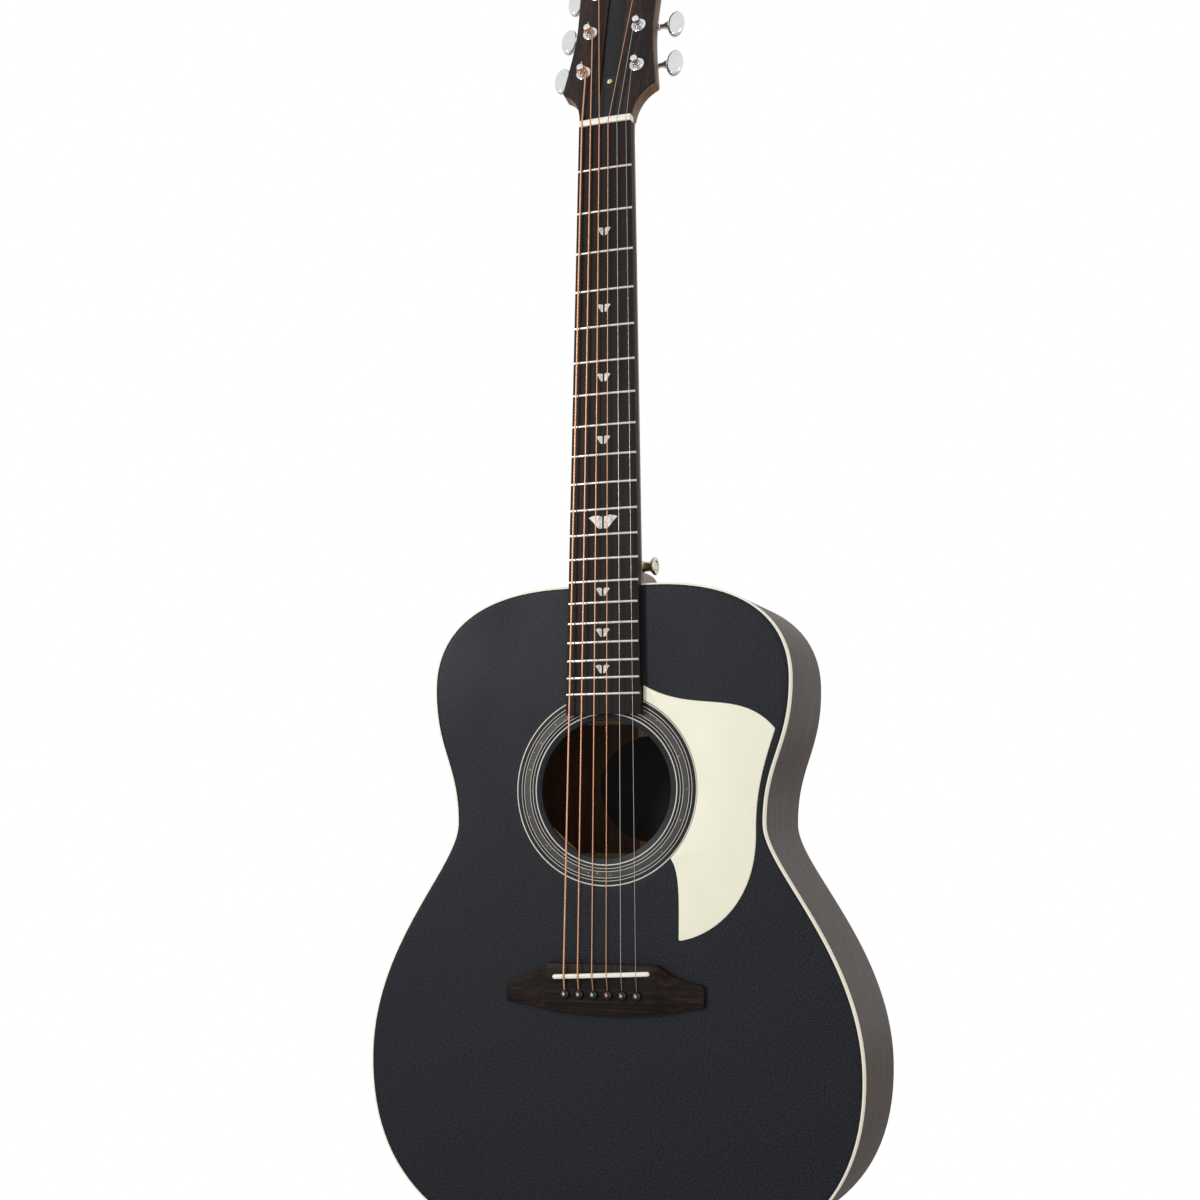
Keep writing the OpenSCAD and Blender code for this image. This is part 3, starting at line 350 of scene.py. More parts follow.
def lacquerBlack():
    # Black satin lacquer over spruce, sprayed and rubbed down: a fine even grit with the
    # wood's ridges just telegraphing through, and a soft wide sheen
    material, tree, shader, grit, ridge, drift = newMaterial("satinBlackLacquer", [
        (1.1, 3, 0.75, 0.0), ((1.3, 1.3, 90), 2, 0.5, 0.0), ((60, 60, 90), 2, 0.5, 0.0)],
        IOR=1.5, Specular_IOR_Level=0.15)
    tint = add(tree, "ValToRGB", "Color", [(0.25, "#030407"), (0.75, "#272930")],
        Fac=add(tree, "MapRange", Value=grit, **between(0, 1)))
    both = add(tree, "Math", operation="ADD", n0=grit, n1=ridge)
    dress(tree, shader, tint, add(tree, "MapRange", Value=drift, **between(0.4, 0.5)), both, 0.06, 0.8)
    return material


def creamPlastic(name, light, dark):
    # Cast celluloid, scraped and buffed: even cream with faint clouding and a soft shine
    material, tree, shader, cloud, fine = newMaterial(name, [(30, 3, 0.5, 0.0),
        (0.8, 2, 0.6, 0.0)], IOR=1.5)
    tint = add(tree, "ValToRGB", "Color", [(0, dark), (1, light)],
        Fac=add(tree, "MapRange", Value=cloud, **between(0, 1)))
    dress(tree, shader, tint, add(tree, "MapRange", Value=fine, **between(0.3, 0.42)), fine, 0.004, 0.4)
    return material


def metal(name, code, rough, brush=0.6, deep=0.002):
    # Plated or polished metal: fine buffing marks break the mirror a little
    material, tree, shader, marks, wear = newMaterial(name, [(brush, 3, 0.6, 0.0),
        (6, 3, 0.6, 0.0)], Metallic=1.0)
    worn = add(tree, "MapRange", Value=wear, **between(0, 0.35))
    tint = add(tree, "Mix", 2, data_type="RGBA", n0=worn, n6=paint(code), n7=paint(code, 0.72))
    dress(tree, shader, tint, add(tree, "MapRange", Value=wear, **between(*rough)), marks, deep, 0.4)
    return material


def woundWirePaintedShadeAndHighlight(name, light, dark, pitch):
    # Round-wound bronze string: each turn of wrap wire gets a painted highlight on its crown and
    # painted shade in its groove.
    # The real wrap is near 0.3 mm and is drawn at the given pitch so that it shows.
    waveUnit = 20  # the wave node turns this many radians per unit at scale 1
    material, tree, shader = newMaterial(name, Metallic=1.0)
    where = add(tree, "TexCoord", "Object")
    band = add(tree, "TexWave", "Fac", wave_type="BANDS", bands_direction="Z", Vector=where,
        Scale=2 * math.pi / (waveUnit * pitch * mm), Distortion=0.0)
    # Colour runs from painted shade in each groove to a painted highlight on each crown
    tint = add(tree, "ValToRGB", "Color", [(0.1, dark), (0.6, light)], Fac=band)
    dress(tree, shader, tint, add(tree, "MapRange", Value=band, **between(0.5, 0.32)), band, 0.05, 0.6)
    return material


def pearlShell(name, stops):
    # Mother of pearl: soft layered clouds of grey and cream with a wet polish
    material, tree, shader, layer = newMaterial(name, [((2.2, 2.2, 3.5), 4, 0.6, 1.2)],
        IOR=1.55, Coat_Weight=0.5, Coat_Roughness=0.08)
    dress(tree, shader, add(tree, "ValToRGB", "Color", stops,
        Fac=add(tree, "MapRange", Value=layer, **between(0, 1))), 0.25)
    return material


def blackPlastic(name, code, rough, shine):
    # Moulded ABS: near black, small dust-fine haze in the shine
    material, tree, shader, haze, fine = newMaterial(name, [(3, 3, 0.6, 0.0),
        (0.5, 2, 0.6, 0.0)], IOR=1.5, Specular_IOR_Level=shine)
    tint = add(tree, "Mix", 2, data_type="RGBA", n0=haze, n6=paint(code), n7=paint(code, 1.6))
    dress(tree, shader, tint, add(tree, "MapRange", Value=haze, **between(rough * 0.8, rough * 1.2)),
        fine, 0.003, 0.4)
    return material


def boneWhite():
    # Sawn and polished cattle bone: warm white with short darker pores along its length
    material, tree, shader, pore = newMaterial("polishedBone", [((2.4, 0.5, 0.5), 3, 0.65, 0.0)],
        IOR=1.54)
    tint = add(tree, "ValToRGB", "Color", [(0.3, "#e2dccb"), (0.55, "#f1eee3")], Fac=pore)
    dress(tree, shader, tint, add(tree, "MapRange", Value=pore, **between(0.4, 0.28)), pore, 0.01, 0.4)
    return material


def tortoiseShell():
    # Celluloid tortoiseshell: amber flecks in near-black brown under a gloss
    material, tree, shader, cloud = newMaterial("tortoiseCelluloid", [(3.5, 3, 0.6, 1.0)],
        IOR=1.5, Coat_Weight=0.4, Coat_Roughness=0.1)
    where = add(tree, "TexCoord", "Object")
    cells = add(tree, "Mapping", Vector=where, Scale=perSize((4.5, 4.5, 4.5)))
    fleck = add(tree, "TexVoronoi", "Distance", Vector=cells, Scale=1.0, Randomness=1.0)
    both = add(tree, "Math", operation="MULTIPLY", n0=fleck, n1=cloud)
    tones = [(0.05, "#a8663d"), (0.09, "#4a2a1b"), (0.14, "#121114")]
    dress(tree, shader, add(tree, "ValToRGB", "Color", tones, Fac=both), 0.3)
    return material


def labelPaper():
    # Uncoated dark paper glued inside the back: fine fibres, no shine
    material, tree, shader, fibre = newMaterial("darkLabelPaper", [(0.8, 4, 0.7, 0.0)],
        Roughness=0.85)
    tint = add(tree, "ValToRGB", "Color", [(0.3, "#171413"), (0.7, "#241f1c")], Fac=fibre)
    dress(tree, shader, tint, None, fibre, 0.02, 0.5)
    return material


# Satin walnut, mahogany and rosewood, oiled boards and bare wood inside: grain axis, fibre width,
# roughness range, then pores, shine and streak where they differ from woodMaterial's own
sideTones = ("#261a14", "#35271f", "#46352b")
alongX = 0
alongZ = 2
woods = {
    "side": ("satinWalnutSides", sideTones, alongZ, 1.1, (0.36, 0.48), 0.04, 0.1),
    "back": ("satinWalnutBack", sideTones, alongZ, 1.3, (0.36, 0.48), 0.04, 0.1),
    "neck": ("satinMahoganyNeck", ("#59422f", "#735543", "#8b6b58"), alongZ, 0.9, (0.42, 0.56), 0.04,
        0.3),
    "head": ("rosewoodHeadWings", ("#171210", "#261e1b", "#3b2a23"), alongZ, 1.4, (0.4, 0.5), 0.04,
        0.15, 0.6),
    "board": ("oiledRosewoodBoard", ("#120c0a", "#1d1512", "#2c201a"), alongZ, 1.0, (0.45, 0.6), 0.06,
        0.12),
    "bridge": ("oiledRosewoodBridge", ("#0c0908", "#1c1411", "#33231d"), alongX, 1.0, (0.4, 0.52), 0.05,
        0.09, 0.5),
    "inside": ("bareMahoganyInside", ("#3c2518", "#523524", "#67472f"), alongZ, 1.2, (0.6, 0.75)),
    "brace": ("bareSpruceBraces", ("#8d6b48", "#a6845b", "#b8976d"), alongX, 1.0, (0.6, 0.75)),
}
looks = {
    "top": lacquerBlack(),
    "cream": creamPlastic("creamBindingCelluloid", "#fbf4e2", "#f5ecd6"),
    "guard": creamPlastic("ivoryGuardPlastic", "#efedd7", "#ebe9d2"),
    "line": creamPlastic("inlayLineCelluloid", "#d3cfc0", "#c4bfaf"),
    "bone": boneWhite(),
    "shell": tortoiseShell(),
    "pearl": pearlShell("greyPearlInlay", [(0, "#8f8c86"), (0.5, "#cfccc4"), (1, "#f1efe8")]),
    "pinPearl": pearlShell("pinDotPearl", [(0, "#7f7b75"), (0.5, "#a9a59d"), (1, "#d8d4ca")]),
    "panel": blackPlastic("blackHeadPanel", "#0f0f12", 0.38, 0.25),
    "pin": blackPlastic("glossBlackPins", "#060607", 0.16, 0.4),
    "label": labelPaper(),
    "chrome": metal("polishedChrome", "#dfe0e0", (0.05, 0.12)),
    "nickel": metal("platedNickel", "#cfc8ba", (0.14, 0.26)),
    "brass": metal("brassScrew", "#d8c49b", (0.18, 0.3)),
    "fret": metal("nickelSilverFrets", "#cfccc4", (0.16, 0.28), (0.3, 2, 0.3)),
    "steel": metal("plainSteelString", "#b9b9b6", (0.2, 0.3), (0.2, 0.2, 3)),
    # Wound string: the light tone is a painted highlight on each crown, the dark tone painted shade in
    # each groove
    "wound": woundWirePaintedShadeAndHighlight("woundBronzeStringPaintedShade", "#e9b48f", "#9a6547", 1.1),
    "coil": metal("bronzeWrap", "#d49b78", (0.25, 0.38), (0.3, 0.3, 0.3), 0.01),
    "copperDot": metal("copperDot", "#b9805c", (0.3, 0.45)),
}
looks.update({key: woodMaterial(*row) for key, row in woods.items()})
print("materials made:", len(looks))


def plate(outline, levels):
    # A flat shape's outline, drawn in X and Z, carried through (inset, depth) levels; each inset
    # moves it inwards square to its own edge, less where a corner is too tight for it. Both ends are
    # closed by one face each.
    p = np.asarray(outline, float)
    turn = 0.5 * np.sum(p[:, 0] * np.roll(p[:, 1], -1) - np.roll(p[:, 0], -1) * p[:, 1])
    if turn < 0:
        p = p[::-1]
    d = np.roll(p, -1, 0) - np.roll(p, 1, 0)
    inward = np.stack([-d[:, 1], d[:, 0]], -1) / np.linalg.norm(d, axis=1, keepdims=True)
    on, back = np.roll(p, -1, 0) - p, p - np.roll(p, 1, 0)
    bend = np.arctan2(back[:, 0] * on[:, 1] - back[:, 1] * on[:, 0], (back * on).sum(1))
    room = 0.7 * np.linalg.norm(d, axis=1) / 2 / np.maximum(bend, 1e-4)
    room = np.min([np.roll(room, k) for k in range(-4, 5)], axis=0)[:, None]
    rings = [np.insert(p + np.minimum(inset, room) * inward, 1, depth, axis=1) for inset,
        depth in levels]
    rows, cols = len(rings), len(p)
    faces = gridFaces(rows, cols, wrapCols=True)
    faces += [list(range(cols)), list(range((rows - 1) * cols, rows * cols))]
    return np.vstack(rings), faces


def evenly(points, step, soften=2, closed=True):
    # Walks an outline in even steps and then cuts its corners at a quarter, so that they round off
    p = np.asarray(points, float)
    if closed:
        p = np.vstack([p, p[:1]])
    run = np.concatenate([[0], np.cumsum(np.linalg.norm(np.diff(p, axis=0), axis=1))])
    count = max(8, int(round(run[-1] / step)))
    at = np.linspace(0, run[-1], count, endpoint=not closed)
    q = np.stack([np.interp(at, run, p[:, k]) for k in range(p.shape[1])], -1)
    for _ in range(soften):
        after = np.roll(q, -1, 0)
        q = np.stack([0.75 * q + 0.25 * after, 0.25 * q + 0.75 * after], 1).reshape(-1, q.shape[1])
    return q


def bentPath(points, cuts, steps=8):
    # A path of straight runs whose corners become short parabolas
    p = np.asarray(points, float)
    parts = [p[:1]]
    for k in range(1, len(p) - 1):
        back, on = p[k - 1] - p[k], p[k + 1] - p[k]
        a = p[k] + back / np.linalg.norm(back) * cuts[k - 1]
        b = p[k] + on / np.linalg.norm(on) * cuts[k - 1]
        t = np.linspace(0, 1, steps)[:, None]
        parts.append((1 - t) ** 2 * a + 2 * t * (1 - t) * p[k] + t * t * b)
    return np.vstack(parts + [p[-1:]])


tilt = math.radians(guitar["headTilt"])
headUp = np.array([0, math.sin(tilt), math.cos(tilt)])
headOut = np.array([0, -math.cos(tilt), math.sin(tilt)])
headStart = np.array([0, guitar["headBack"], guitar["nutThick"]])


def onHead(part):
    # Points given as (across, into the head, up the head) move to the tilted headstock
    v = np.asarray(part[0], float)
    return headStart + v[:, :1] * (1, 0, 0) - v[:, 1:2] * headOut + v[:, 2:3] * headUp, part[1]


def headPoint(x, y, u):
    # Start plus x across, y into the head and u up its slope
    return headStart + np.array([x, 0, 0]) - y * headOut + u * headUp


def halfOutline(inset, steps=30):
    # Right half of the body's edge: four cubic curves from tail to neck joint, moved inwards
    lower, waist, upper = guitar["lowerBout"] / 2, guitar["waist"] / 2, guitar["upperBout"] / 2
    flat, rise, drop = 34, guitar["lowerRise"], guitar["upperDrop"]
    curves = [
        [[0, tailZ], [0.62 * lower, tailZ], [lower, lowerZ - 0.7 * rise], [lower, lowerZ]],
        [[lower, lowerZ], [lower, lowerZ + 0.48 * (waistZ - lowerZ)],
        [waist, waistZ - 0.18 * (waistZ - lowerZ)], [waist, waistZ]],
        [[waist, waistZ], [waist, waistZ + 0.43 * (upperZ - waistZ)],
        [upper, upperZ - 0.47 * (upperZ - waistZ)], [upper, upperZ]],
        [[upper, upperZ], [upper, upperZ + 0.52 * drop], [flat + 0.74 * (upper - flat), jointZ],
        [flat, jointZ]]]
    parts = []
    for k, c in enumerate(curves):
        t = np.linspace(0, 1, steps + 1)[(1 if k else 0):]
        d = bezierSlope(c, t)
        inward = np.stack([-d[:, 1], d[:, 0]], -1) / np.linalg.norm(d, axis=1, keepdims=True)
        parts.append(bezier(c, t) + inset * inward)
    across = np.linspace(1, 0, 7)[1:, None] * (parts[-1][-1] * (1, 0)) + (0, jointZ - inset)
    return np.vstack(parts + [across])


def bodyOutline(inset):
    # Whole edge of the body: the right half, then its mirror image back down to the tail
    right = halfOutline(inset)
    return np.vstack([right, right[-2:0:-1] * (-1, 1)])


def edgeRing(inset, depth):
    # The body's outline at an inset; depth is a number or a rule of x and z
    p = bodyOutline(inset)
    y = depth(p[:, 0], p[:, 1]) if callable(depth) else np.full(len(p), float(depth))
    return points(p[:, 0], y, p[:, 1])


def towards(ring, goal, shares, depth=None):
    # Rings between one ring and another, or a point, by shares of the way
    rings = [ring + (goal - ring) * s for s in shares]
    if depth is not None:
        for r in rings:
            r[:, 1] = depth(r[:, 0], r[:, 2])
    return rings


# Soundboard: flat, rolled down a little at its edge, with an eased soundhole
topEdge = {"roll": 4.4, "drop": 0.5, "cover": 1.42, "holeEase": 0.5}


def makeTop(s):
    # Rim levels fall as the square of the way out; inner levels run straight to the hole's circle
    insets = np.array([s["cover"], 1.6, 1.9, 2.3, 2.8, 3.3, 3.8, s["roll"]])
    falls = s["drop"] * ((s["roll"] - insets) / (s["roll"] - s["cover"])) ** 2
    rings = [edgeRing(2.4, guitar["topThick"]), edgeRing(2.4, 1.6), edgeRing(1.75, 0.85)]
    rings += [edgeRing(i, f) for i, f in zip(insets, falls)] + [edgeRing(9, 0), edgeRing(18, 0)]
    last = rings[-1]
    angle = np.arctan2(last[:, 2] - holeZ, last[:, 0])
    circle = points(np.cos(angle), 0, np.sin(angle))
    centre = np.array([0, 0, holeZ])
    r, e = guitar["holeRadius"], s["holeEase"]
    rings += towards(last, centre + circle * (r + e), np.linspace(0.1, 1, 10))
    rings += [centre + circle * (r + e * 0.3) + (0, e * 0.3, 0), centre + circle * r + (0, e, 0),
        centre + circle * r + (0, guitar["topThick"], 0)]
    makePiece("soundboardSkin", ringLoft(rings), "top", "soundboard")


makeTop(topEdge)

# Rosette: six pale lines and a dark band, set a hair proud of the lacquer
rosette = {"outer": (71, 67.4, 65.2, 60.6, 58.4, 56), "wide": (0.85, 0.42, 0.42, 0.42, 0.42, 0.85),
    "band": (60.8, 64.2), "proud": 0.05}


def inlayRing(outer, inner, proud):
    # A thin ring let into the top about the soundhole, its edges just broken
    profile = [(inner, -0.6), (outer, -0.6), (outer, proud - 0.03), (outer - 0.04, proud),
        (inner + 0.04, proud), (inner, proud - 0.03)]
    return place(washer(profile, 160), (0, 0, holeZ), (0, -1, 0))


makePiece("rosetteLines",
    join(*[inlayRing(r, r - w, rosette["proud"]) for r, w in zip(rosette["outer"], rosette["wide"])]),
    "line", "rosette_rings")
makePiece("rosetteBand", inlayRing(rosette["band"][1], rosette["band"][0], rosette["proud"]),
    "shell", "rosette_band")

# Binding: a strip round the front edge, a narrow face in front and a deep one at the side
bindingSection = [(1.4, 0.54), (1.3, 0.45), (0.9, 0.5), (0.45, 0.66), (0.15, 0.9), (0, 1.25), (0, 2.5),
    (0, 4.2), (0, 5.75), (0.08, 5.95), (0.3, 6.02), (1.5, 6.02), (1.5, 1.7), (1.5, 0.9)]
makePiece("bindingStrip", ringLoft([edgeRing(i, y) for i, y in bindingSection]),
    "cream", "top_binding", 40)
print("soundboard, rosette and binding made")

# Sides: bent walls from the binding to the back, finished outside and bare inside
def makeSide(name, hand, node):
    # One section (inset, share of the way to the back) carried along half the outline
    inner = guitar["sideThick"]
    section = [(0, 0), (0, 0.25), (0, 0.5), (0, 0.75), (0, 1), (inner, 1), (inner, 0.5), (inner, 0)]
    front = guitar["bindingDeep"] + 0.02
    columns = []
    for inset, share in section:
        p = halfOutline(inset)
        deep = backY(p[:, 0], p[:, 1], guitar["backThick"])
        columns.append(points(hand * p[:, 0], front + (deep - front) * share, p[:, 1]))
    rings = np.stack(columns, 1)
    part = closedLoft(rings)
    inside = np.zeros(len(part[1]), int)
    grid = (len(rings) - 1) * len(section)
    inside[:grid] = np.isin(np.arange(grid) % len(section), (5, 6))
    makePiece(name, part, ("side", "inside"), node, 40, which=inside)


makeSide("trebleSideWall", 1, "treble_side")
makeSide("bassSideWall", -1, "bass_side")

# Back: an arched panel with a small roundover
backEdge = {"middle": -600, "inset": (0, 0, 0.25, 0.8, 1.6, 3),
    "depth": (2.6, 1.4, 0.6, 0.15, 0.0, 0.0)}


def makeBack(s):
    # Rim levels by inset and depth under the arched surface, then rings that shrink to a point
    centre = np.array([0, 100, s["middle"]])
    outer = [edgeRing(i, lambda x, z, d=d: backY(x, z, d)) for i, d in zip(s["inset"], s["depth"])]
    shrink = np.concatenate([np.linspace(0.08, 0.92, 12), [0.985]])
    outer += towards(outer[-1], centre, shrink, lambda x, z: backY(x, z))
    thick = guitar["backThick"]
    under = towards(edgeRing(0.4, lambda x, z: backY(x, z, thick)), centre, shrink[::-1],
        lambda x, z: backY(x, z, thick))
    rings = np.stack(under + outer)
    part = closedLoft(rings)
    inside = np.zeros(len(part[1]), int)
    cols = rings.shape[1]
    inside[:(len(under)) * cols] = 1
    inside[(len(rings) - 1) * cols:len(rings) * cols] = 1
    makePiece("archedBack", part, ("back", "inside"), "back_panel", 40, which=inside)


makeBack(backEdge)

# Pickguard: round the rosette, a long tip below it and a wide sweep over the treble side
guard = {"thick": 1.1, "clear": 0.5, "below": -45, "edge": 0.3, "topUp": 76, "tip": (27, -109),
    "side": (85, -32), "point": (100, 42)}


def makeGuard(s):
    # One arc and four cubic curves, evened out, with a bevelled rim
    r = rosette["outer"][0] + s["clear"]
    x0 = float(boardHalf(boardEndZ)) + s["edge"]
    a = np.linspace(math.acos(x0 / r), math.radians(s["below"]), 40)
    arc = np.stack([r * np.cos(a), holeZ + r * np.sin(a)], -1)
    low = arc[-1]
    top = np.array([x0, holeZ + s["topUp"]])
    tip, side, point = (np.array([x0, holeZ]) + s[k] for k in ("tip", "side", "point"))
    curves = [[low, low + (8, -8), tip + (0, 23), tip], [tip, tip + (23, 3), side + (0, -52), side],
        [side, side + (0, 28), point + (-10, -28), point],
        [point, point + (-26, 31), top + (39, -23), top]]
    t = np.linspace(0, 1, 40)[1:]
    outline = evenly(np.vstack([arc] + [bezier(c, t) for c in curves]), 1.6)
    levels = [(0, 0.02), (0, -0.7), (0.12, -0.92), (0.35, -1.06), (0.6, -s["thick"])]
    makePiece("pickguardPlate", plate(outline, levels), "guard", "pickguard", 50)


makeGuard(guard)
print("sides, back and pickguard made")

# Bridge: an arched-belly rosewood block whose wings scoop down to thin tips
bridge = {"half": 76.5, "high": 8.5, "tip": 3.5, "middle": 42, "up": 8, "low": 27.5, "ease": 0.7}


def makeBridge(s):
    # Height follows a circle beyond the middle; the edges follow cubic curves; rows run along X
    h, m = s["half"], s["middle"]
    t = np.linspace(0, 1, 30)
    lower = np.vstack([bezier([[0, -s["low"]], [0.4 * h, -s["low"]], [0.75 * h, -23.1],
        [h - 2.5, -21.5]], t),
        [[h - 1.2, -21.1], [h - 0.5, -20.4], [h, -19]]])
    upper = np.vstack([[[0, s["up"]]], bezier([[m, s["up"]], [m + 11, 0], [h - 14, -3.8],
        [h - 2.5, -5]], t),
        [[h - 1.2, -5.4], [h - 0.5, -6.1], [h, -7.5]]])
    x = np.concatenate([np.linspace(0, m, 12), np.linspace(m, h - 2.5, 34)[1:],
        h - np.array([2, 1.6, 1.2, 0.8, 0.5, 0.25, 0])])
    x = np.concatenate([-x[:0:-1], x])
    ax = np.abs(x)
    run, fall = h - m, s["high"] - s["tip"]
    r = (run * run + fall * fall) / (2 * fall)
    high = np.where(ax < m, s["high"], s["tip"] + r - np.sqrt(np.maximum(r * r - (h - ax) ** 2, 0)))
    high = high - 0.5 * np.clip((ax - h + 0.8) / 0.8, 0, 1) ** 2
    z0, z1 = np.interp(ax, lower[:, 0], lower[:, 1]), np.interp(ax, upper[:, 0], upper[:, 1])
    e = s["ease"]
    section = [(0, 0, 0), (0, 0, 1 - e / 4), (0, 0.3 * e, 1), (0, e, 1), (0.33, 0, 1), (0.66, 0, 1),
        (1, -e, 1), (1, -0.3 * e, 1), (1, 0, 1 - e / 4), (1, 0, 0)]
    drops = [0, e, 0.25 * e, 0, 0, 0, 0, 0.25 * e, e, 0]
    columns = []
    for (share, shift, up), drop in zip(section, drops):
        z = z0 + (z1 - z0) * share + shift
        y = -(high - drop) if up else np.zeros(len(x))
        columns.append(points(x, y, saddleZ + z))
    makePiece("bridgeBlock", closedLoft(np.stack(columns, 1)), "bridge", "bridge", 24)


makeBridge(bridge)

# Saddle: a slanted bone strip with round ends and a crowned top
saddle = {"long": 75, "thick": 3.4, "top": 11.8, "slant": 3}


def makeSaddle(s):
    # A stadium outline through (inset, height) levels, then bent to the fingerboard's crown and slanted
    r, half = s["thick"] / 2, s["long"] / 2
    a = np.linspace(-np.pi / 2, np.pi / 2, 14)
    right = np.stack([half - r + r * np.cos(a), r * np.sin(a)], -1)
    mid = np.linspace(half - r, -half + r, 40)[1:-1]
    outline = np.vstack([right, np.stack([mid, np.full(38, r)], -1), -right,
        np.stack([-mid, np.full(38, -r)], -1)])
    levels = [(0, -5), (0, -s["top"] + 1.1), (0.12, -s["top"] + 0.6), (0.45, -s["top"] + 0.22),
        (0.95, -s["top"] + 0.04), (1.4, -s["top"])]
    v, f = plate(outline, levels)
    v[:, 1] += np.where(v[:, 1] < -6, v[:, 0] ** 2 / (2 * guitar["boardRadius"]), 0)
    turn = math.radians(s["slant"])
    x, z = v[:, 0].copy(), v[:, 2].copy()
    v[:, 0], v[:, 2] = x * math.cos(turn) - z * math.sin(turn), x * math.sin(turn) + z * math.cos(turn)
    v[:, 2] += saddleZ
    makePiece("saddleStrip", (v, f), "bone", "saddle", 50)


makeSaddle(saddle)

# Bridge pins with pearl dots; one dot is a copper replacement
pins = {"step": 11.1, "back": 14, "copper": 3}
pinHead = [(0, 3.0), (0.9, 2.98), (1.7, 2.82), (2.5, 2.42), (3.1, 1.85), (3.5, 1.25), (3.6, 0.85),
    (3.52, 0.5), (3.25, 0.2), (2.9, 0.05), (2.6, 0), (2.35, -21), (1.4, -23), (0, -23)]
dotFace = [(0, 0.16), (0.5, 0.13), (0.85, 0.06), (1.0, -0.04), (1.0, -0.6), (0, -0.6)]


def pinX(i):
    # Even steps either side of the middle, string 1 at the right
    return pins["step"] * (3.5 - i)


def atPin(profile, i, raised):
    # A turned shape that faces out of the bridge at pin i
    return place(lathe(profile, 32), (pinX(i), -bridge["high"] - raised, saddleZ - pins["back"]),
        (0, -1, 0))


makePiece("bridgePins", each(lambda i: atPin(pinHead, i, 0)), "pin",
    "bridge_pins", 50)
makePiece("pinDots", join(*[atPin(dotFace, i, 3) for i in range(1, 7) if i != pins["copper"]]),
    "pinPearl", "pin_dots", 50)
makePiece("copperPinDot", atPin(dotFace, pins["copper"], 3), "copperDot")
print("bridge, saddle and pins made")

# Frets: nickel silver beads bent to the board's crown, bevelled at the ends
fretWire = {"high": 1.1, "wide": 2.2, "bevel": 0.55}


def makeFret(n, s):
    # A half ellipse across, carried along the crown; each height ends a bevel's share sooner
    t = np.linspace(0, np.pi, 13)
    rise = np.concatenate([[-0.4], s["high"] * np.sin(t), [-0.4]])
    wide = s["wide"] / 2 * np.concatenate([[-1], -np.cos(t), [1]])
    z = float(fretPlace(n))
    half = float(boardHalf(z)) - 0.05
    share = np.linspace(-1, 1, 22)[:, None]
    x = share * (half - s["bevel"] * np.maximum(rise, 0))
    r = guitar["boardRadius"]
    y = r - guitar["boardThick"] - np.sqrt((r + rise) ** 2 - x * x)
    return closedLoft(points(x, y, z + wide))


makePiece("fretWires", join(*[makeFret(n, fretWire) for n in range(1, guitar["frets"] + 1)]),
    "fret", "frets", 40)

# Strings: radii, spread and the turns that each takes round its post
strings = {"radius": (0.15, 0.2, 0.3, 0.41, 0.53, 0.67), "wraps": (5, 4, 3, 3, 2, 2),
    "spread": 36.4, "height": 3.7, "waist": 2.5, "fixedTurn": 0.9, "lift": 2.1, "hole": 6.5}


def nutX(i):
    # Even steps over the spread, string 1 at the right
    return strings["spread"] / 2 - (i - 1) * strings["spread"] / 5


def atNut(i):
    # The string's middle, a radius and the action above the first fret's crown
    x, r = nutX(i), strings["radius"][i - 1]
    return np.array([x, x * x / (2 * guitar["boardRadius"]) - guitar["boardThick"] - guitar["fretHigh"]
        - guitar["nutAction"] - r, 0])


# Nut: bone with rounded edges and a slot under each string
nut = {"high": 8.7, "half": 21.45, "long": 5, "ease": 0.9}


def makeNut(s):
    # Section across the nut carried along X; each slot's floor follows its string down to the post
    dense = [nutX(i) + np.linspace(-1, 1.6, 25) * handOf(i) * (strings["radius"][i - 1] + 0.25)
        for i in range(1, 7)]
    x = np.unique(np.concatenate([np.linspace(-1, 1, 90) * (s["half"] - s["ease"])] + dense))
    a = np.linspace(0, np.pi / 2, 6)[1:]
    end = s["half"] - s["ease"] * (1 - np.sin(a))
    x = np.concatenate([-end[::-1], x, end])
    over = np.clip((np.abs(x) - s["half"] + s["ease"]) / s["ease"], 0, 1)
    top = -s["high"] + x * x / (2 * guitar["boardRadius"]) + s["ease"] * (1 - np.sqrt(1 - over ** 2))
    e, long = s["ease"], s["long"]
    section = [(0.0, None), (0.0, e), (0.12, 0.45 * e), (0.45, 0.12 * e), (e, 0), (long / 2, 0),
        (long - e, 0), (long - 0.45, 0.12 * e), (long - 0.12, 0.45 * e), (long, e), (long, None)]
    columns = []
    for z, drop in section:
        y = np.zeros(len(x)) if drop is None else top + drop
        for i in range(1, 7):
            r = strings["radius"][i - 1] + 0.04
            start, stop = atNut(i), coilPoints(i, 0, strings["fixedTurn"])[0]
            centre = start + (stop - start) * z / (stop[2] - start[2])
            off = x - centre[0]
            floor = centre[1] + np.sqrt(np.maximum(r * r - off * off, 0))
            if drop is not None:
                y = np.where(np.abs(off) < r, np.maximum(y, floor), y)
        columns.append(points(x, y, z))
    makePiece("nutBlock", closedLoft(np.stack(columns, 1)), "bone", "nut", 40)


print("frets made")

# Headstock: a flat core with rosewood wings either side of a black centre panel
head = {"coreRound": 1.2, "wingIn": 7.6, "bevelTop": 38, "bevelOut": 13.9, "split": 41,
    "screwAt": 35, "ease": 0.3}


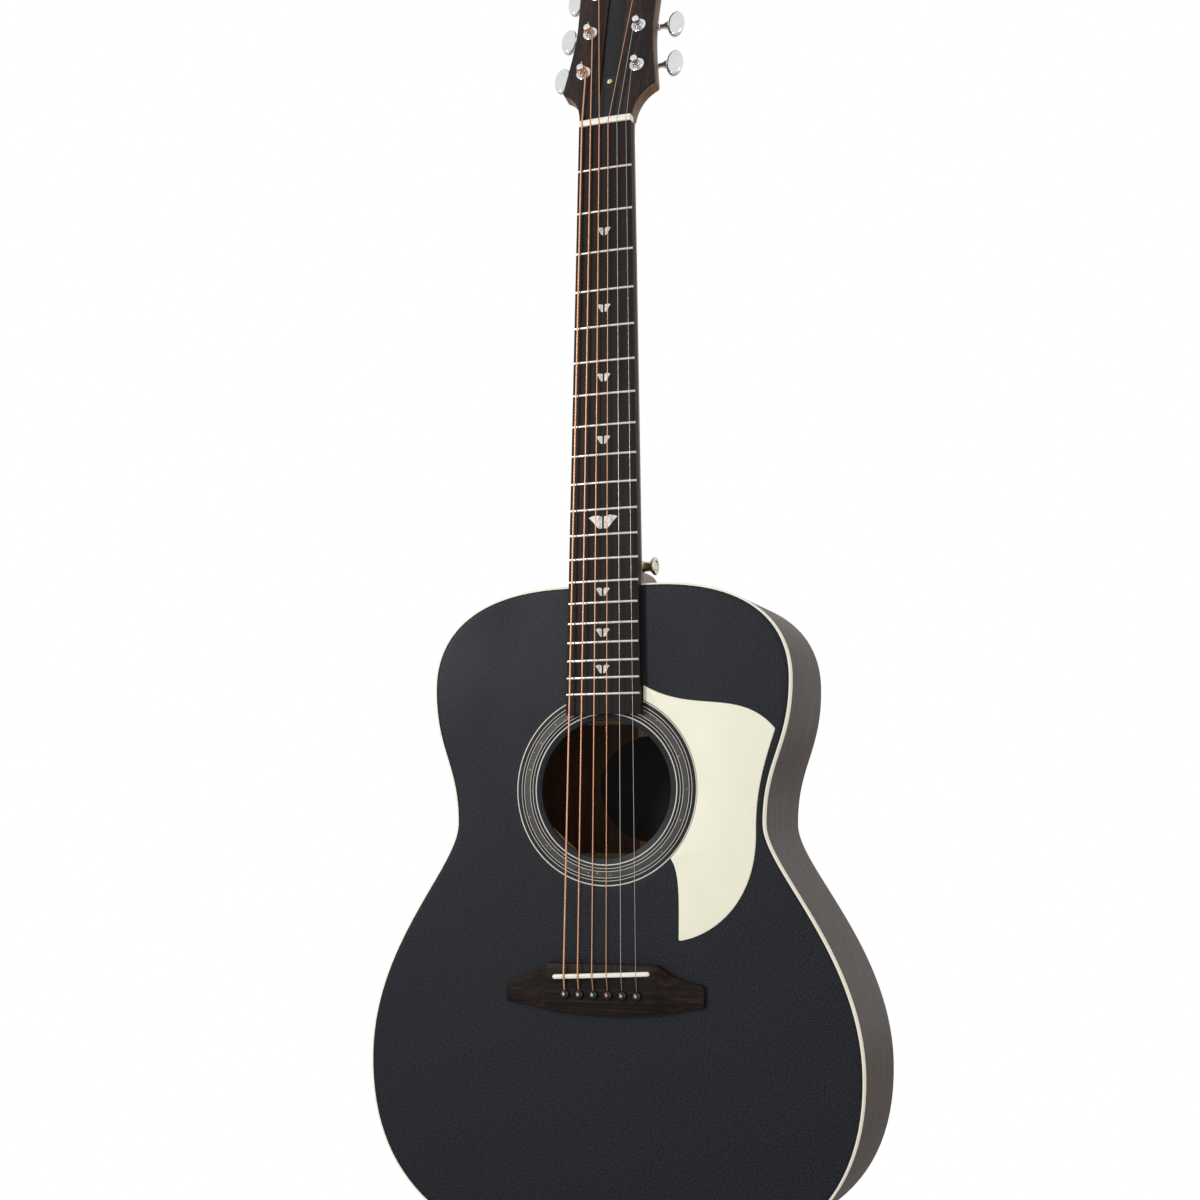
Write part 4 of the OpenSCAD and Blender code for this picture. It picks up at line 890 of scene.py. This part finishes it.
def headHalf():
    # Right edge from the nut to the crown: flare, shoulder, long hollow and rounded top corner
    hc, hm, length = guitar["headCorner"], guitar["headMiddle"], guitar["headLength"]
    top, ht, c, n = length - 11, hm + 2.3, 29, guitar["nutWidth"] / 2
    t = np.linspace(0, 1, 24)
    return np.vstack([
        bezier([[n, 0], [n + 1.2, 15], [hc - 9, c - 5], [hc - 0.6, c - 1]], t),
        bezier([[hc, c + 0.6], [hc - 3, c + 22], [hm - 1, c + 46], [hm, c + 70]], t),
        bezier([[hm, c + 71], [hm + 0.3, c + 85], [ht - 0.5, top - 14], [ht, top - 2]], t),
        bezier([[ht - 1.4, top], [ht - 12, length - 5], [10, length - 1], [0, length]], t)])


def bevelX(u):
    # The black facet's outer line leaves the panel's edge and widens evenly to the nut
    run = head["bevelTop"] + 3
    return head["wingIn"] + (head["bevelOut"] - head["wingIn"]) * (head["bevelTop"] - u) / run


def headOutline():
    # The right edge, then its mirror image back to the nut
    half = headHalf()
    return np.vstack([half, half[-2::-1] * (-1, 1)])


def wingOutline(hand):
    # The part of the half outline beyond the panel, closed down the facet's outer line
    half = headHalf()
    keep = half[half[:, 0] > head["wingIn"]]
    top = np.interp(head["wingIn"], half[::-1, 0][:24], half[::-1, 1][:24])
    low = -0.5
    points = np.vstack([[[guitar["nutWidth"] / 2, low]], keep, [[head["wingIn"], top]],
        [[head["wingIn"], head["bevelTop"]]], [[bevelX(low), low]]])
    return evenly(points * (hand, 1), 0.8, 1)


def wingLevels():
    # Straight side walls with a small bevel at the face
    t, e = guitar["wingThick"], head["ease"]
    return [(0, 0.0), (0, -t + e), (0.3 * e, -t + 0.3 * e), (e, -t)]


def facet(hand):
    # Slanted black strip from the wing's face down to the panel, closed underneath
    u = np.linspace(-0.5, head["bevelTop"], 20)
    out = bevelX(u)
    full = head["bevelOut"] - head["wingIn"]
    fall = (guitar["wingThick"] - guitar["panelThick"]) * (out - head["wingIn"]) / full
    inX = head["wingIn"] - 0.25
    high = -guitar["wingThick"] + 0.04
    ring = np.stack([points(hand * (out + 0.25), high, u), points(hand * inX, high + fall, u),
        points(hand * inX, 0, u), points(hand * (out + 0.25), 0, u)], 1)
    return closedLoft(ring)


def flatPanel(u0, u1, thick):
    # A rectangle between two heights of the head, with a small bevel
    x = guitar["panelHalf"]
    corners = [[-x, u0], [x, u0], [x, u1], [-x, u1]]
    return plate(evenly(corners, 0.7, 1), [(0, 0.0), (0, -thick + 0.25), (0.08, -thick + 0.07),
        (0.25, -thick)])


makePiece("headWings",
    onHead(join(plate(wingOutline(1), wingLevels()), plate(wingOutline(-1), wingLevels()))),
    "head", "headstock_overlay", 30)
makePiece("headFacets", onHead(join(facet(1), facet(-1))), "panel")
makePiece("headPanel",
    onHead(flatPanel(head["split"], guitar["headLength"] - 0.6, guitar["panelThick"])),
    "panel", "headstock_panel", 30)
makePiece("trussCover", onHead(flatPanel(-0.3, head["split"] - 0.3, guitar["panelThick"])),
    "panel", "truss_rod_cover", 30)

# Neck: a D-shaped shaft, a volute into the headstock's core and a heel
neck = {"fullness": 0.8, "heelOut": 34, "capHalf": 13, "capOut": 21, "heelDeep": 84, "cap": 2.5}


def shaftRing(z):
    # Half width follows the board; the back is a flattened half round
    a = np.linspace(0, np.pi, 41)
    w = float(boardHalf(z))
    share = z / jointZ
    deep = guitar["neckDeep"] + (guitar["neckHeelDeep"] - guitar["neckDeep"]) * max(share, 0)
    return points(w * np.cos(a), deep * np.sin(a).clip(0) ** neck["fullness"], z)


def headRing(u):
    # Rounded rectangle across the headstock's core, with as many points as the shaft's ring
    a = np.linspace(0, np.pi, 41)
    w, t = guitar["nutWidth"] / 2 - 0.1, guitar["headThick"]
    x = w * np.sign(np.cos(a)) * np.abs(np.cos(a)) ** 0.35
    y = 4 + (t - 4.1) * np.abs(np.sin(a)) ** 0.35
    return onHead((points(x, y, u), None))[0]


def makeNeck(s):
    # Shaft rings, then rings that blend into the head's section, joined to the core and the heel
    shaft = [shaftRing(z) for z in np.linspace(jointZ, -18, 40)]
    blend = []
    for t in np.linspace(0.04, 1, 22):
        m = float(smoothStep(t))
        blend.append((1 - m) * shaftRing(-18 + 22 * t) + m * headRing(-14 + 34 * t))
    y = np.linspace(3, s["heelDeep"] + 0.02, 40)
    t = np.linspace(0, 1, 60)
    w0, deep = float(boardHalf(jointZ)), guitar["neckHeelDeep"]
    front = bezier([[w0, 6], [w0 - 6, deep + 4], [s["capHalf"] + 3, s["heelDeep"] / 2],
        [s["capHalf"], s["heelDeep"]]], t)
    side = bezier([[s["heelOut"], deep - 3], [s["capOut"] + 4, deep + 1],
        [s["capOut"], s["heelDeep"] * 0.45], [s["capOut"], s["heelDeep"]]], t)
    w, p = np.interp(y, front[:, 1], front[:, 0])[:, None], np.interp(y, side[:, 1], side[:, 0])[:,
        None]
    a = np.linspace(0, np.pi, 41)
    heel = np.stack([w * np.cos(a), np.repeat(y[:, None], 41, 1),
        jointZ + p * np.sin(a).clip(0) ** s["fullness"]], -1)
    t0, e = guitar["headThick"], head["coreRound"]
    core = plate(evenly(headOutline(), 1.2, 1),
        [(0.1, 0.0), (0, 0.15), (0, t0 - e), (0.3 * e, t0 - 0.35 * e),
        (0.9 * e, t0)])
    makePiece("neckWood", join(closedLoft(shaft + blend), closedLoft(heel), onHead(core)),
        "neck", "neck", 34)
    outline = np.stack([s["capHalf"] * np.cos(a),
        jointZ + s["capOut"] * np.sin(a).clip(0) ** s["fullness"]], -1)
    d, c = s["heelDeep"], s["cap"]
    makePiece("heelCapPlate",
        plate(evenly(outline, 0.8, 1), [(0, d), (0, d + c - 0.5), (0.15, d + c - 0.15), (0.5, d + c)]),
        "board", "heel_cap", 30)


makeNeck(neck)
print("headstock and neck made")

# Tuners: bushings, posts, housings and buttons, three a side
tuner = {"rise": 45.8, "step": 38.4, "out": 22.4, "stepIn": 1.9, "worm": 9.5, "gearY": 14,
    "caseHalf": 8.92, "caseTop": 13.85, "caseDeep": 18.35, "caseRound": 3, "flange": 1.6,
    "tabDrop": 2.7, "tab": 3.4, "collar": 2.8, "collarLong": 3, "buttonAt": 17.92,
    "buttonWide": 14, "buttonLong": 24, "buttonThick": 6, "shaft": 2}
bushing = [(3.1, -6), (6.0, -6), (6.0, 0.55), (5.92, 0.8), (5.7, 0.96), (5.4, 1.0), (4.75, 1.0),
    (4.45, 1.06),
    (4.3, 1.25), (4.28, 1.6), (4.15, 1.82), (3.95, 1.9), (3.35, 1.9), (3.15, 1.8), (3.1, 1.5)]
postShape = [(0, -16.3), (3, -16.3), (3, 2.1), (2.92, 2.35), (2.6, 2.65), (2.5, 2.9), (2.5, 7.0),
    (2.56, 7.3), (2.72, 7.6), (2.8, 7.9), (2.8, 8.5), (2.7, 8.9), (2.4, 9.25), (1.9, 9.46),
    (1.2, 9.57), (0, 9.6)]


def handOf(i):
    # Strings 1 to 3 are on the right, 4 to 6 on the left
    return 1 if i <= 3 else -1


def postPlace(i):
    # String 1 to 3 go up the treble side and 6 to 4 up the bass side
    row = i - 1 if i <= 3 else 6 - i
    return handOf(i) * (tuner["out"] - row * tuner["stepIn"]), tuner["rise"] + row * tuner["step"]


def footOf(i):
    # The point on the wing's face at post i
    x, u = postPlace(i)
    return headPoint(x, -guitar["wingThick"], u)


def onWing(part, i):
    # A turned shape set on the wing's face at post i
    return place(part, footOf(i), headOut)


def roundedBox(half, u0, u1, r):
    # Corners of a rectangle replaced by quarter circles
    a = np.linspace(0, np.pi / 2, 7)
    corners = [(half - r, u1 - r, 0), (-half + r, u1 - r, np.pi / 2), (-half + r, u0 + r, np.pi),
        (half - r, u0 + r, 1.5 * np.pi)]
    return np.vstack([np.stack([x + r * np.cos(a + s), u + r * np.sin(a + s)], -1) for x, u,
        s in corners])


def crossScrew(radius, high, slot=0.32, reach=0.62, deep=0.45):
    # A domed head whose height drops inside two crossed slots
    r = np.linspace(0.02, 1, 26)[:, None] * radius
    a = np.linspace(0, 2 * np.pi, 72, endpoint=False)[None]
    x, y = r * np.cos(a), r * np.sin(a)
    dome = high * np.sqrt(np.clip(1 - (r / radius) ** 2 * 0.92, 0, 1)) + 0 * a
    inSlot = (1 - smoothStep((np.minimum(np.abs(x), np.abs(y)) / radius - slot * 0.4) / (slot * 0.25)))
    inSlot = inSlot * (1 - smoothStep((np.maximum(np.abs(x), np.abs(y)) / radius - reach) / 0.12))
    rings = np.stack([x, y, dome - deep * inSlot], -1)[::-1]
    foot = rings[0] * (1, 1, 0) + (0, 0, -0.3)
    return closedLoft(np.concatenate([foot[None], rings]))


def shifted(part, x, y, u):
    # Adds one offset to every point
    return np.asarray(part[0]) + (x, y, u), part[1]


def makeHousing(i):
    # A rounded case over the gears, a flange with a screw tab and a collar round the button's shaft
    x, u = postPlace(i)
    t = guitar["headThick"]
    box = roundedBox(tuner["caseHalf"], -tuner["caseHalf"], tuner["caseTop"], tuner["caseRound"])
    deep = tuner["caseDeep"]
    case = plate(box, [(0, t), (0, deep - 1.5), (0.2, deep - 0.8), (0.75, deep - 0.25), (1.6, deep)])
    a = np.linspace(0, 2 * np.pi, 40, endpoint=False)
    tab = np.stack([tuner["tab"] * np.cos(a),
        -tuner["caseHalf"] - tuner["tabDrop"] + tuner["tab"] * np.sin(a)], -1)
    f = t + tuner["flange"]
    lug = plate(tab, [(0, t), (0, f - 0.3), (0.1, f - 0.08), (0.3, f)])
    collar = place(lathe([(0, 0), (tuner["collar"], 0), (tuner["collar"], 2.6 + 1), (2.6, 3.9),
        (2.05, 4.0),
        (0, 4.0)], 32), (0, 0, 0), (handOf(i), 0, 0), (0, 1, 0))
    collar = shifted(collar, handOf(i) * (tuner["caseHalf"] - 1), tuner["gearY"], tuner["worm"])
    return shifted(join(case, lug, collar), x, 0, u)


makePiece("tunerCases", onHead(each(makeHousing)), "chrome",
    "tuner_housings", 30)
makePiece("tunerWashers",
    each(lambda i: onWing(washer(bushing, 64), i)),
    "chrome", "tuner_bushings", 30)


def makeButton(i):
    # An ellipse swollen through (inset, thickness) levels, on a shaft that flares into it
    x, u = postPlace(i)
    a = np.linspace(0, 2 * np.pi, 64, endpoint=False)
    hand = handOf(i)
    w, l, t = tuner["buttonWide"] / 2, tuner["buttonLong"] / 2, tuner["buttonThick"] / 2
    waist = 1 - 0.1 * np.exp(
        -(((a - (np.pi if hand > 0 else 0) + np.pi) % (2 * np.pi) - np.pi) / 0.45) ** 2)
    levels = [(0.02, 0.78), (0.35, 0.86), (0.62, 0.93), (0.8, 0.9), (0.91, 0.74), (0.975, 0.48),
        (1, 0.2)]
    shape = np.array([(s, h) for s, h in levels] + [(s, -h) for s, h in levels[::-1]])
    rings = np.stack([shape[:, :1] * w * np.cos(a) * waist, np.repeat(shape[:, 1:] * t, 64, 1),
        shape[:, :1] * l * np.sin(a)], -1)
    body = shifted(closedLoft(rings), hand * (tuner["buttonAt"] + w), 0, 0)
    s, at = tuner["shaft"], tuner["buttonAt"]
    stem = [(0, -6), (s, -6), (s, at - 3.6), (s + 0.25, at - 2.6), (s + 0.75, at - 1.4),
        (s + 1.3, at - 0.2),
        (s + 1.5, at + 1.2), (0, at + 2)]
    stem = place(lathe(stem, 32), (0, 0, 0), (hand, 0, 0), (0, 1, 0))
    return onHead(shifted(join(body, stem), x, tuner["gearY"], u + tuner["worm"]))


def coilPoints(i, start, stop):
    # The string leaves the inner side of its post, goes up over the far side and climbs as it turns
    r = strings["radius"][i - 1]
    t = np.linspace(start, stop, max(4, int((stop - start) * 30))) * 2 * np.pi
    ring = strings["waist"] + 0.06 + r
    high = strings["height"] + strings["lift"] * r * t / (2 * np.pi)
    return (footOf(i) - handOf(i) * ring * np.cos(t)[:, None] * np.array([1, 0, 0])
        + ring * np.sin(t)[:, None] * headUp + high[:, None] * headOut)


makeNut(nut)


def makeWinding(i):
    # The climbing turns, then up the nut side of the post, through its hole and out a little
    r = strings["radius"][i - 1]
    turns = strings["wraps"][i - 1] - 0.25
    coil = coilPoints(i, strings["fixedTurn"], turns)
    foot = footOf(i)
    ring = strings["waist"] + 0.06 + r
    hole = strings["hole"]
    corner = foot - ring * headUp + hole * headOut
    far = foot + (ring + 3.2) * headUp + hole * headOut
    rise = bentPath([coil[-1], corner, far], [min(0.9, 0.45 * np.linalg.norm(corner - coil[-1]))], 7)
    return tube(np.vstack([coil[:-1], rise]), r, 12)


for i in range(1, 7):
    plain = i <= 2
    makePiece(f"tunerButton{i}", makeButton(i), "chrome", f"tuner_button_{i}", 40,
        body=f"button_{i}")
    makePiece(f"tunerPost{i}", onWing(lathe(postShape), i), "chrome", f"tuner_post_{i}", 40,
        body=f"post_{i}")
    makePiece(f"stringCoil{i}", makeWinding(i),
        "steel" if plain else "coil", f"string_winding_{i}", 60, body=f"post_{i}")


def makeString(i):
    # From under the pin, over saddle and nut, to a last turn round the post, with eased bends
    r = strings["radius"][i - 1]
    x = pinX(i)
    crown = x * x / (2 * guitar["boardRadius"])
    inZ = saddleZ - pins["back"] + 2.05
    top = -bridge["high"] - r - 0.15
    over = np.array([x, crown - saddle["top"] - 0.04 - r,
        saddleZ + x * math.tan(math.radians(saddle["slant"]))])
    turn = coilPoints(i, 0, strings["fixedTurn"])
    run = bentPath([(x, 6, inZ), (x, top, inZ), over, atNut(i), turn[0]], [0.8, 1.6, 2.2])
    return tube(np.vstack([run[:-1], turn]), r, 12)


for i in range(1, 7):
    plain = i <= 2
    makePiece(f"string{i}", makeString(i),
        "steel" if plain else "wound", f"string_{i}", 60)
print("tuners and strings made")

# Screws and strap buttons
strap = [(0, 0), (5.5, 0), (5.45, 0.5), (4.7, 1.9), (4.0, 3.6), (3.75, 5.2), (3.7, 6.6), (3.8, 7.6),
    (4.5, 8.8),
    (5.6, 9.9), (6.5, 10.7), (6.95, 11.4), (6.98, 12.1), (6.8, 12.7), (6.4, 13), (4.6, 13), (4.1, 12.7),
    (4.0, 12.2), (0, 12.2)]
heelButton = {"place": (21.5, 16, 15), "tailHigh": 55}
heelAt = np.array(heelButton["place"]) + (0, 0, jointZ)
tailAt = np.array([0, heelButton["tailHigh"], tailZ])
makePiece("strapButtons",
    join(place(lathe(strap), tailAt, (0, 0, -1)), place(lathe(strap), heelAt, (1, 0, 0))),
    "nickel", "strap_buttons", 40)


def makeScrews():
    # Cross-head screws in the strap buttons and behind each tuner
    parts = [place(crossScrew(3.6, 0.9), tailAt + (0, 0, -12.1), (0, 0, -1)),
        place(crossScrew(3.6, 0.9), heelAt + (12.1, 0, 0), (1, 0, 0))]
    for i in range(1, 7):
        x, u = postPlace(i)
        drop = u - tuner["caseHalf"] - tuner["tabDrop"]
        parts.append(place(crossScrew(2.3, 1.3),
            headPoint(x, guitar["headThick"] + tuner["flange"], drop), -headOut))
    return join(*parts)


makePiece("smallScrews", makeScrews(), "nickel", "small_screws", 30)
makePiece("coverScrew",
    place(crossScrew(2.2, 0.9, 0.36, 0.66, 0.5), headPoint(0, -guitar["panelThick"], head["screwAt"]),
    headOut),
    "brass", (), 30)

# Pieces of the model that keep their own shape
kept = {"fingerboard": "board", "position_markers": "pearl", "top_linings": "brace",
    "back_linings": "brace",
    "neck_block": "inside", "tail_block": "inside", "top_braces": "brace", "bridge_plate": "brace",
    "back_braces": "brace", "back_strip": "brace", "soundhole_label": "label", "truss_rod": "steel",
    "neck_bolts": "steel"}
for node, look in kept.items():
    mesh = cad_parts[node].data
    mesh.materials.clear()
    mesh.materials.append(looks[look])
print("screws and kept pieces finished")

# Studio: pale floor, white surround, a soft box from the left as key and a weak fill
studio = {"floorSize": 8, "ambient": 0.5, "keyPlace": (-1.5, -2.3, 0.35), "keySize": 0.5,
    "keyPower": 34,
    "fillPlace": (2.4, -1.0, -0.2), "fillSize": 1.6, "fillPower": 10, "aim": (0, 0, -0.5),
    "fadeFrom": 0.4, "fadeTo": 0.9}


def lampAt(name, where, size, power, aim):
    # A square soft box that faces the aim point
    data = bpy.data.lights.new(name, "AREA")
    data.size, data.energy = size, power
    lamp = bpy.data.objects.new(name, data)
    bpy.context.scene.collection.objects.link(lamp)
    ahead = (Vector(aim) - Vector(where)).normalized()
    lamp.matrix_world = Matrix.Translation(Vector(where)) @ ahead.to_track_quat("-Z",
        "Y").to_matrix().to_4x4()


def makeStudio(s):
    # The floor is matt near the guitar and fades to plain white for the camera further out
    low = cadBox[0][2]
    half = s["floorSize"] / 2
    mesh = bpy.data.meshes.new("floor")
    mesh.from_pydata([(-half, -half, low), (half, -half, low), (half, half, low), (-half, half, low)],
        [],
        [(0, 1, 2, 3)])
    floor = bpy.data.objects.new("floor", mesh)
    bpy.context.scene.collection.objects.link(floor)
    material, tree, shader = newMaterial("matteWhiteFloor", Roughness=0.9)
    where = add(tree, "TexCoord", "Object")
    shader.inputs["Base Color"].default_value = paint("#f7f7f6")
    far = add(tree, "VectorMath", "Value", operation="LENGTH", n0=where)
    fade = add(tree, "MapRange", Value=far, **between(0, 1, s["fadeFrom"], s["fadeTo"]))
    seen = add(tree, "Math", operation="MULTIPLY", n0=fade, n1=add(tree, "LightPath", "Is Camera Ray"))
    mix = add(tree, "MixShader", n0=seen, n1=shader.outputs[0], n2=add(tree, "Emission", Strength=1.0))
    tree.links.new(mix, tree.nodes["Material Output"].inputs["Surface"])
    mesh.materials.append(material)
    world = bpy.data.worlds.new("studio")
    bpy.context.scene.world = world
    world.use_nodes = True
    tree = world.node_tree
    camera, glossy, clear = (add(tree, "LightPath", f"Is {ray} Ray")
        for ray in ("Camera", "Glossy", "Transmission"))
    one = add(tree, "Math", operation="ADD", n0=camera, n1=glossy)
    two = add(tree, "Math", operation="ADD", use_clamp=True, n0=one, n1=clear)
    sky = tree.nodes["Background"]
    sky.inputs["Color"].default_value = (1, 1, 1, 1)
    level = add(tree, "MapRange", Value=two, **between(s["ambient"], 1, 0, 1))
    tree.links.new(level, sky.inputs["Strength"])
    lampAt("key", s["keyPlace"], s["keySize"], s["keyPower"], s["aim"])
    lampAt("fill", s["fillPlace"], s["fillSize"], s["fillPower"], s["aim"])


makeStudio(studio)
print("studio made")
